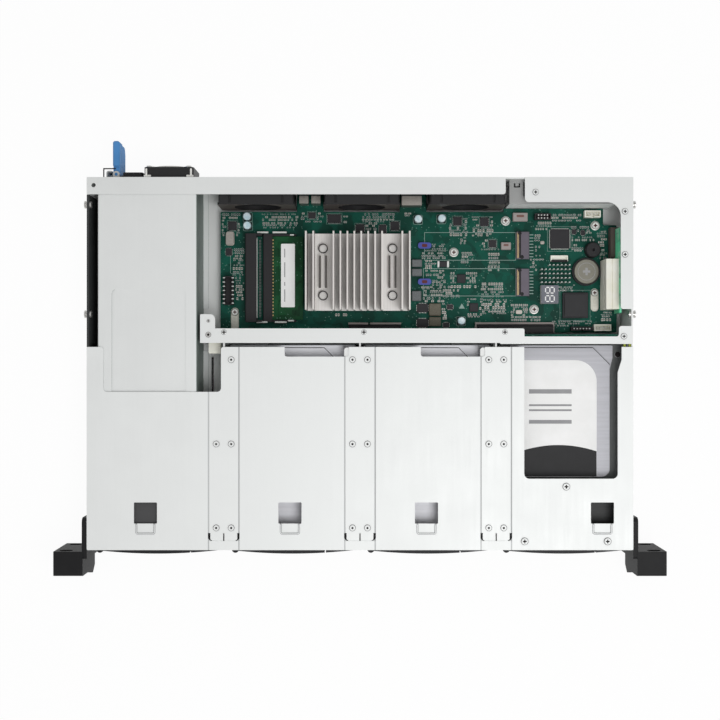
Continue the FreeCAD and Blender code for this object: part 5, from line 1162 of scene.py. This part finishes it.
bm = bmesh.new()
for step in range(SOCKET_CONTACTS):
    y = 38.0 + step * 1.22
    slab(bm, (-82.2, y - 0.22), (-80.4, y + 0.22), BOARD_TOP, BOARD_TOP + 1.6, 0.08)
piece("memory_contacts", bm, (rim_steel,))

# %% [markdown]
# Other sockets have parts of their own: a dark plate of painted shade over the mouth, two posts and
# a row of feet on each storage socket, a black lock bar on the ribbon socket, and pale frames round
# the two links to the drives' board. Two guides hold that board's edge at the bracket.

# %% Socket details
POST = (1.5, 0.4, 0.5)
LOCK_LOW, LOCK_HIGH = (155.2, 82.3), (168.5, 84.2)
bm = bmesh.new()
for low, high in CARD_ROWS:
    # Painted shade: a thin dark plate over each storage socket's mouth.
    plate(bm, (129.1, low), (130.6, high), CARD_TOP, thick=0.06, radius=0.4)
    for place in ((131.4, low + 0.8), (129.6, high - 0.4)):
        screw(bm, place, CARD_TOP, *POST, crossed=False)
slab(bm, LOCK_LOW, LOCK_HIGH, BOARD_TOP, BOARD_TOP + 3.7, 0.25)
piece("socket_mouths", bm, (gloss_black, socket_black, gloss_black))

LINK_WALLS = (((-9.6, 31.6), (6.6, 33.2)), ((8.0, 31.6), (33.4, 33.2)), ((93.4, 31.6), (157.6, 33.4)),
              ((93.4, 24.9), (94.9, 31.7)), ((156.1, 24.9), (157.6, 31.7)))
bm = bmesh.new()
for low, high in LINK_WALLS:
    slab(bm, low, high, BOARD_TOP, BOARD_TOP + 5.0, 0.3)
piece("link_frames", bm, (box_pink,))

CARD_FEET = 8
bm = bmesh.new()
for low, high in CARD_ROWS:
    for step in range(CARD_FEET):
        y = low + (high - low) * (step + 0.5) / CARD_FEET
        slab(bm, (138.0, y - 0.35), (141.2, y + 0.35), BOARD_TOP, BOARD_TOP + 0.3)
    take((137.8, low), (141.4, high))
piece("socket_feet", bm, (silk_dim,))

GUIDES = (208.4, 212.5)
bm = bmesh.new()
for x in GUIDES:
    slab(bm, (x - 0.8, 13.3), (x + 0.8, 15.4), BRACKET_TOP - 2.4, BRACKET_TOP + 0.1, 0.1)
piece("board_edge_guides", bm, (edge_olive,))

# %% [markdown]
# Most of what fills a board is tiny: resistors and capacitors in rows, each a body between two tinned
# ends. Rows share one size and direction, as a board designer lays them out, and some places in a row
# stay empty. A fixed seed keeps every run alike.

# %% Small board parts
FIELDS = {
    "left_rear": (306.8, 321.4, 1.7, 19.6), "left_column": (303.5, 312.5, 28.5, 71.7),
    "memory_rear": (258.7, 288.8, 0.8, 13.0), "usb_foot": (239.1, 257.1, 0.4, 8.2),
    "sink_rear": (218.8, 222.8, 1.7, 9.0), "regulators": (179.7, 207.4, 0.4, 14.7),
    "lan_foot": (165.8, 173.2, 0.4, 3.3), "sink_right": (138.9, 159.3, 25.3, 73.3),
    "coil_side": (135.7, 146.3, 74.2, 96.2), "sink_front": (218.8, 229.4, 80.7, 84.8),
    "hub_1": (121.0, 136.5, 3.3, 19.6), "hub_2": (100.6, 117.8, 3.3, 19.6),
    "hub_3": (121.8, 127.5, 20.4, 26.1), "mid_1": (95.8, 110.4, 22.0, 31.0),
    "mid_2": (116.9, 126.7, 31.8, 41.6), "mid_3": (94.9, 104.7, 31.8, 48.1),
    "core_1": (113.7, 135.7, 47.3, 61.9), "core_2": (128.3, 141.4, 60.3, 69.3),
    "core_3": (91.7, 110.4, 57.1, 69.3), "core_4": (108.8, 121.8, 68.5, 85.6),
    "core_5": (89.2, 109.6, 69.3, 83.1), "crystal": (61.5, 86.0, 75.0, 88.8),
    "card_1": (61.5, 69.7, 17.1, 35.9), "card_2": (58.3, 70.5, 36.7, 48.1),
    "card_3": (66.4, 70.5, 50.5, 66.0), "bridge_left": (52.6, 66.4, 0.4, 14.7),
    "bridge_rear": (27.3, 52.6, 0.4, 7.4), "bridge_right": (18.4, 37.1, 11.4, 23.7),
    "riser_left": (6.1, 15.9, 13.9, 38.3), "display_right": (33.8, 47.7, 58.7, 64.4),
    "buzzer_left": (26.0, 37.5, 24.0, 32.0), "front_edge": (18.4, 52.6, 88.0, 92.9),
    "front_right": (3.7, 12.7, 80.7, 88.8)}
SIZES = ((1.0, 0.5, 0.35), (1.6, 0.8, 0.45), (1.6, 0.8, 0.8), (2.0, 1.25, 0.9))
KEPT_SHARE = 0.8
END_SHARE = 0.48
LOW_PART = 0.5
STROKE, STROKE_SHARE, STROKE_AWAY, STROKE_GAP = 0.2, 0.8, 0.25, 0.05
BRACKET_INK = 0.04
draw = random.Random(7)
resistor_bm = bmesh.new()
ceramic_bm = bmesh.new()
bracket_bm = bmesh.new()
printed = []


def small_part(bm, x, y, width, depth, height):
    """A body between two tinned ends: four sections along the longer side, joined by faces."""
    long_half = max(width, depth) / 2
    wide_half = min(width, depth) / 2
    end = END_SHARE * long_half
    sections = []
    for run in (-long_half, end - long_half, long_half - end, long_half):
        section = []
        for side, rise in ((-wide_half, 0), (wide_half, 0), (wide_half, height), (-wide_half, height)):
            place = (x + run, y + side) if width > depth else (x + side, y + run)
            section.append(bm.verts.new(Vector((*place, BOARD_TOP + rise)) * MM))
        sections.append(section)
    for near, far, finish in zip(sections, sections[1:], (1, 0, 1)):
        for step in range(4):
            bm.faces.new((near[step - 1], near[step], far[step], far[step - 1])).material_index = finish
    for section in (sections[0], sections[-1]):
        bm.faces.new(section).material_index = 1


def brackets(x, y, width, depth):
    """Two printed strokes beside a part, apart from one that would lie on another part's stroke."""
    for side in (-1, 1):
        if width > depth:
            stroke = around(x, y + side * (depth / 2 + STROKE_AWAY), STROKE_SHARE * width, STROKE)
        else:
            stroke = around(x + side * (width / 2 + STROKE_AWAY), y, STROKE, STROKE_SHARE * depth)
        (left, low), (right, high) = stroke
        if not any(left < x1 and right > x0 and low < y1 and high > y0 for x0, x1, y0, y1 in printed):
            printed.append((left - STROKE_GAP, right + STROKE_GAP, low - STROKE_GAP, high + STROKE_GAP))
            slab(bracket_bm, *stroke, BOARD_TOP, BOARD_TOP + BRACKET_INK)


def fill_field(right0, right1, rear0, rear1):
    """Rows of small parts over a free area, each row with one size and direction."""
    x0, y = spot(right1, rear1)
    x1, y1 = spot(right0, rear0)
    count = 0
    while y < y1 - 1.0:
        length, breadth, height = draw.choice(SIZES)
        width, depth = (length, breadth) if draw.random() < 0.5 else (breadth, length)
        bm = resistor_bm if height < LOW_PART else ceramic_bm
        x = x0 + draw.uniform(0, 1.0)
        while x + width < x1:
            if draw.random() < KEPT_SHARE and is_free((x, y), (x + width, y + depth)):
                small_part(bm, x + width / 2, y + depth / 2, width, depth, height)
                brackets(x + width / 2, y + depth / 2, width, depth)
                take((x, y), (x + width, y + depth), 0.1)
                count += 1
            x += width + draw.choice((0.5, 0.7, 1.1))
        y += depth + draw.choice((0.5, 0.8, 1.2))
    return count


placed = sum(fill_field(*FIELDS[field]) for field in sorted(FIELDS))
piece("small_resistors", resistor_bm, (resistor_black, solder))
piece("small_capacitors", ceramic_bm, (capacitor_tan, solder))
piece("part_brackets", bracket_bm, (silk_dim,))
print(placed, "small parts placed")

# %% [markdown]
# White print marks where things go: the outlines of two storage cards that can be plugged in, frames
# round chips, and small corner marks. Print is only a skin of ink, so thin flat bands are enough.

# %% White print on the board
INK = 0.03
OUTLINES = (((52.4, 83.9), (127.0, 106.8), 0.5), ((51.5, 54.8), (127.0, 77.4), 0.5),
            ((152.6, 91.3), (172.8, 111.5), 0.25), ((162.8, 34.9), (187.6, 59.7), 0.25),
            ((-105.6, 73.0), (-97.6, 90.0), 0.25, 1.0))
ROUND_MARKS = ((-91.5, 119.1), (-91.3, 111.8), (47.2, 117.0), (66.2, 117.5), (82.2, 34.4))
MARKED_CHIPS, CHIP_MARGIN = 8, 1.8
ARROW, ARROW_RADIUS = spot(126.0, 77.3), 2.8
print_bm = bmesh.new()


def outline(low, high, width, radius=0.0):
    """A printed rectangle."""
    thicken(print_bm, band(print_bm, flat(print_bm, low, high, BOARD_TOP, radius), width), INK)


for frame_line in OUTLINES:
    outline(*frame_line)
for right, rear, width, depth in FLAT_CHIPS[:MARKED_CHIPS]:
    outline(*around(*spot(right, rear), width + CHIP_MARGIN, depth + CHIP_MARGIN), 0.2)
for x, y in ROUND_MARKS:
    outline(*around(x, y, 7.8, 7.8), width=0.25, radius=1.2)
arrow_place = Matrix.Translation(Vector((*ARROW, BOARD_TOP)) * MM)
arrow = bmesh.ops.create_circle(print_bm, cap_ends=True, radius=ARROW_RADIUS * MM, segments=3,
                                matrix=arrow_place)["verts"]
thicken(print_bm, [arrow[0].link_faces[0]], INK)
piece("board_print", print_bm, (silk_dim,))

# %% [markdown]
# A drive's cover is a stamped lid with one cut corner, and a dark band, painted shade in the seam,
# shows where it ends. On it lies a white paper label with one round corner and a black block with an
# arched top. The label carries plain grey bars.

# %% Drive labels and seams
LID_HALF, LID_FRONT, LID_REAR = 38.2, -90.4, 12.8
LID_CUT, LID_ROUND = 13.0, 6.6
PAPER_LOW = DRIVE_TOP + 0.06
PAPER_TOP = PAPER_LOW + 0.1
LABEL_LEFT, LABEL_RIGHT, LABEL_ROUND = -33.0, 28.0, 17.0
LABEL_FRONT, LABEL_REAR = -90.2, 2.7
BLOCK_EDGE, BLOCK_CROWN, BLOCK_CUTS = -70.0, 5.0, 15
INK_INSET = 0.1
BAR_LEFT, BAR_RIGHT = -26.0, 8.0
GREY_BARS = ((-24.0, -20.5), (-34.0, -32.5), (-38.0, -36.5), (-48.0, -45.0))
SEAM_WIDTH, SEAM_LENGTH = 0.5, 20.0
CASE_SCREW, CASE_SCREW_X, CASE_SCREW_Y = (2.6, 0.5, 0.6), 45.2, 7.2


def rear_right(corner):
    return corner.x > 0 and corner.y > 0


def drive_lid(bay, middle, metal):
    bm = bmesh.new()
    lid = flat(bm, (middle - LID_HALF, LID_FRONT), (middle + LID_HALF, LID_REAR), PLATE_LOW, LID_CUT,
               rear_right, 1)
    corner = max(lid.verts, key=lambda vert: vert.co.x - vert.co.y)
    lid = soften(bm, [corner], LID_ROUND, "VERTICES", 6)[0].link_faces[0]
    thicken(bm, [lid], PAPER_LOW - PLATE_LOW)
    piece("drive_lid_%d" % bay, bm, (metal,), "carrier_%d" % bay)


def drive_label(bay, middle):
    bm = bmesh.new()
    paper = flat(bm, (middle + LABEL_LEFT, LABEL_FRONT), (middle + LABEL_RIGHT, LABEL_REAR), PAPER_LOW,
                 LABEL_ROUND, rear_right, 10)
    thicken(bm, [paper], PAPER_TOP - PAPER_LOW)
    ink = flat(bm, (middle + LABEL_LEFT + INK_INSET, LABEL_FRONT + INK_INSET),
               (middle + LABEL_RIGHT - INK_INSET, BLOCK_EDGE), PAPER_TOP)
    edge_y = (BLOCK_EDGE - 0.1) * MM
    rear_edges = [edge for edge in ink.edges if all(vert.co.y > edge_y for vert in edge.verts)]
    bmesh.ops.subdivide_edges(bm, edges=rear_edges, cuts=BLOCK_CUTS)
    half = (LABEL_RIGHT - LABEL_LEFT) / 2
    for vert in ink.verts:
        if vert.co.y > edge_y:
            away = (vert.co.x / MM - middle - (LABEL_LEFT + LABEL_RIGHT) / 2) / half
            vert.co.y += BLOCK_CROWN * (1 - away * away) * MM
    thicken(bm, [ink], 0.03, 1)
    for low, high in GREY_BARS:
        plate(bm, (middle + BAR_LEFT, low), (middle + BAR_RIGHT, high), PAPER_TOP, 0.02, finish=2)
    piece("drive_label_%d" % bay, bm, (paper_white, paper_black, paper_grey),
          "carrier_%d" % bay)


def drive_seam(bay, middle):
    bm = bmesh.new()
    # Painted shade: a dark band along the seam where the lid ends.
    seam = flat(bm, (middle - LID_HALF, LID_REAR - SEAM_LENGTH), (middle + LID_HALF, LID_REAR),
                PAPER_LOW - 0.03, LID_CUT, rear_right, 1)
    band(bm, seam, SEAM_WIDTH)
    cut_off(bm, LID_REAR - LID_CUT - 1.0, -1)
    thicken(bm, bm.faces[:], 0.06)
    screw(bm, (middle + CASE_SCREW_X, CASE_SCREW_Y), PLATE_LOW - 0.2, *CASE_SCREW, crossed=False)
    piece("drive_seam_%d" % bay, bm, (recess_dark, rim_steel, recess_dark),
          "carrier_%d" % bay)


for bay, metal in ((2, painted_light_drive), (3, painted_light_drive), (4, dark_drive)):
    drive_lid(bay, bay_x(bay), metal)
    drive_label(bay, bay_x(bay))
    drive_seam(bay, bay_x(bay))
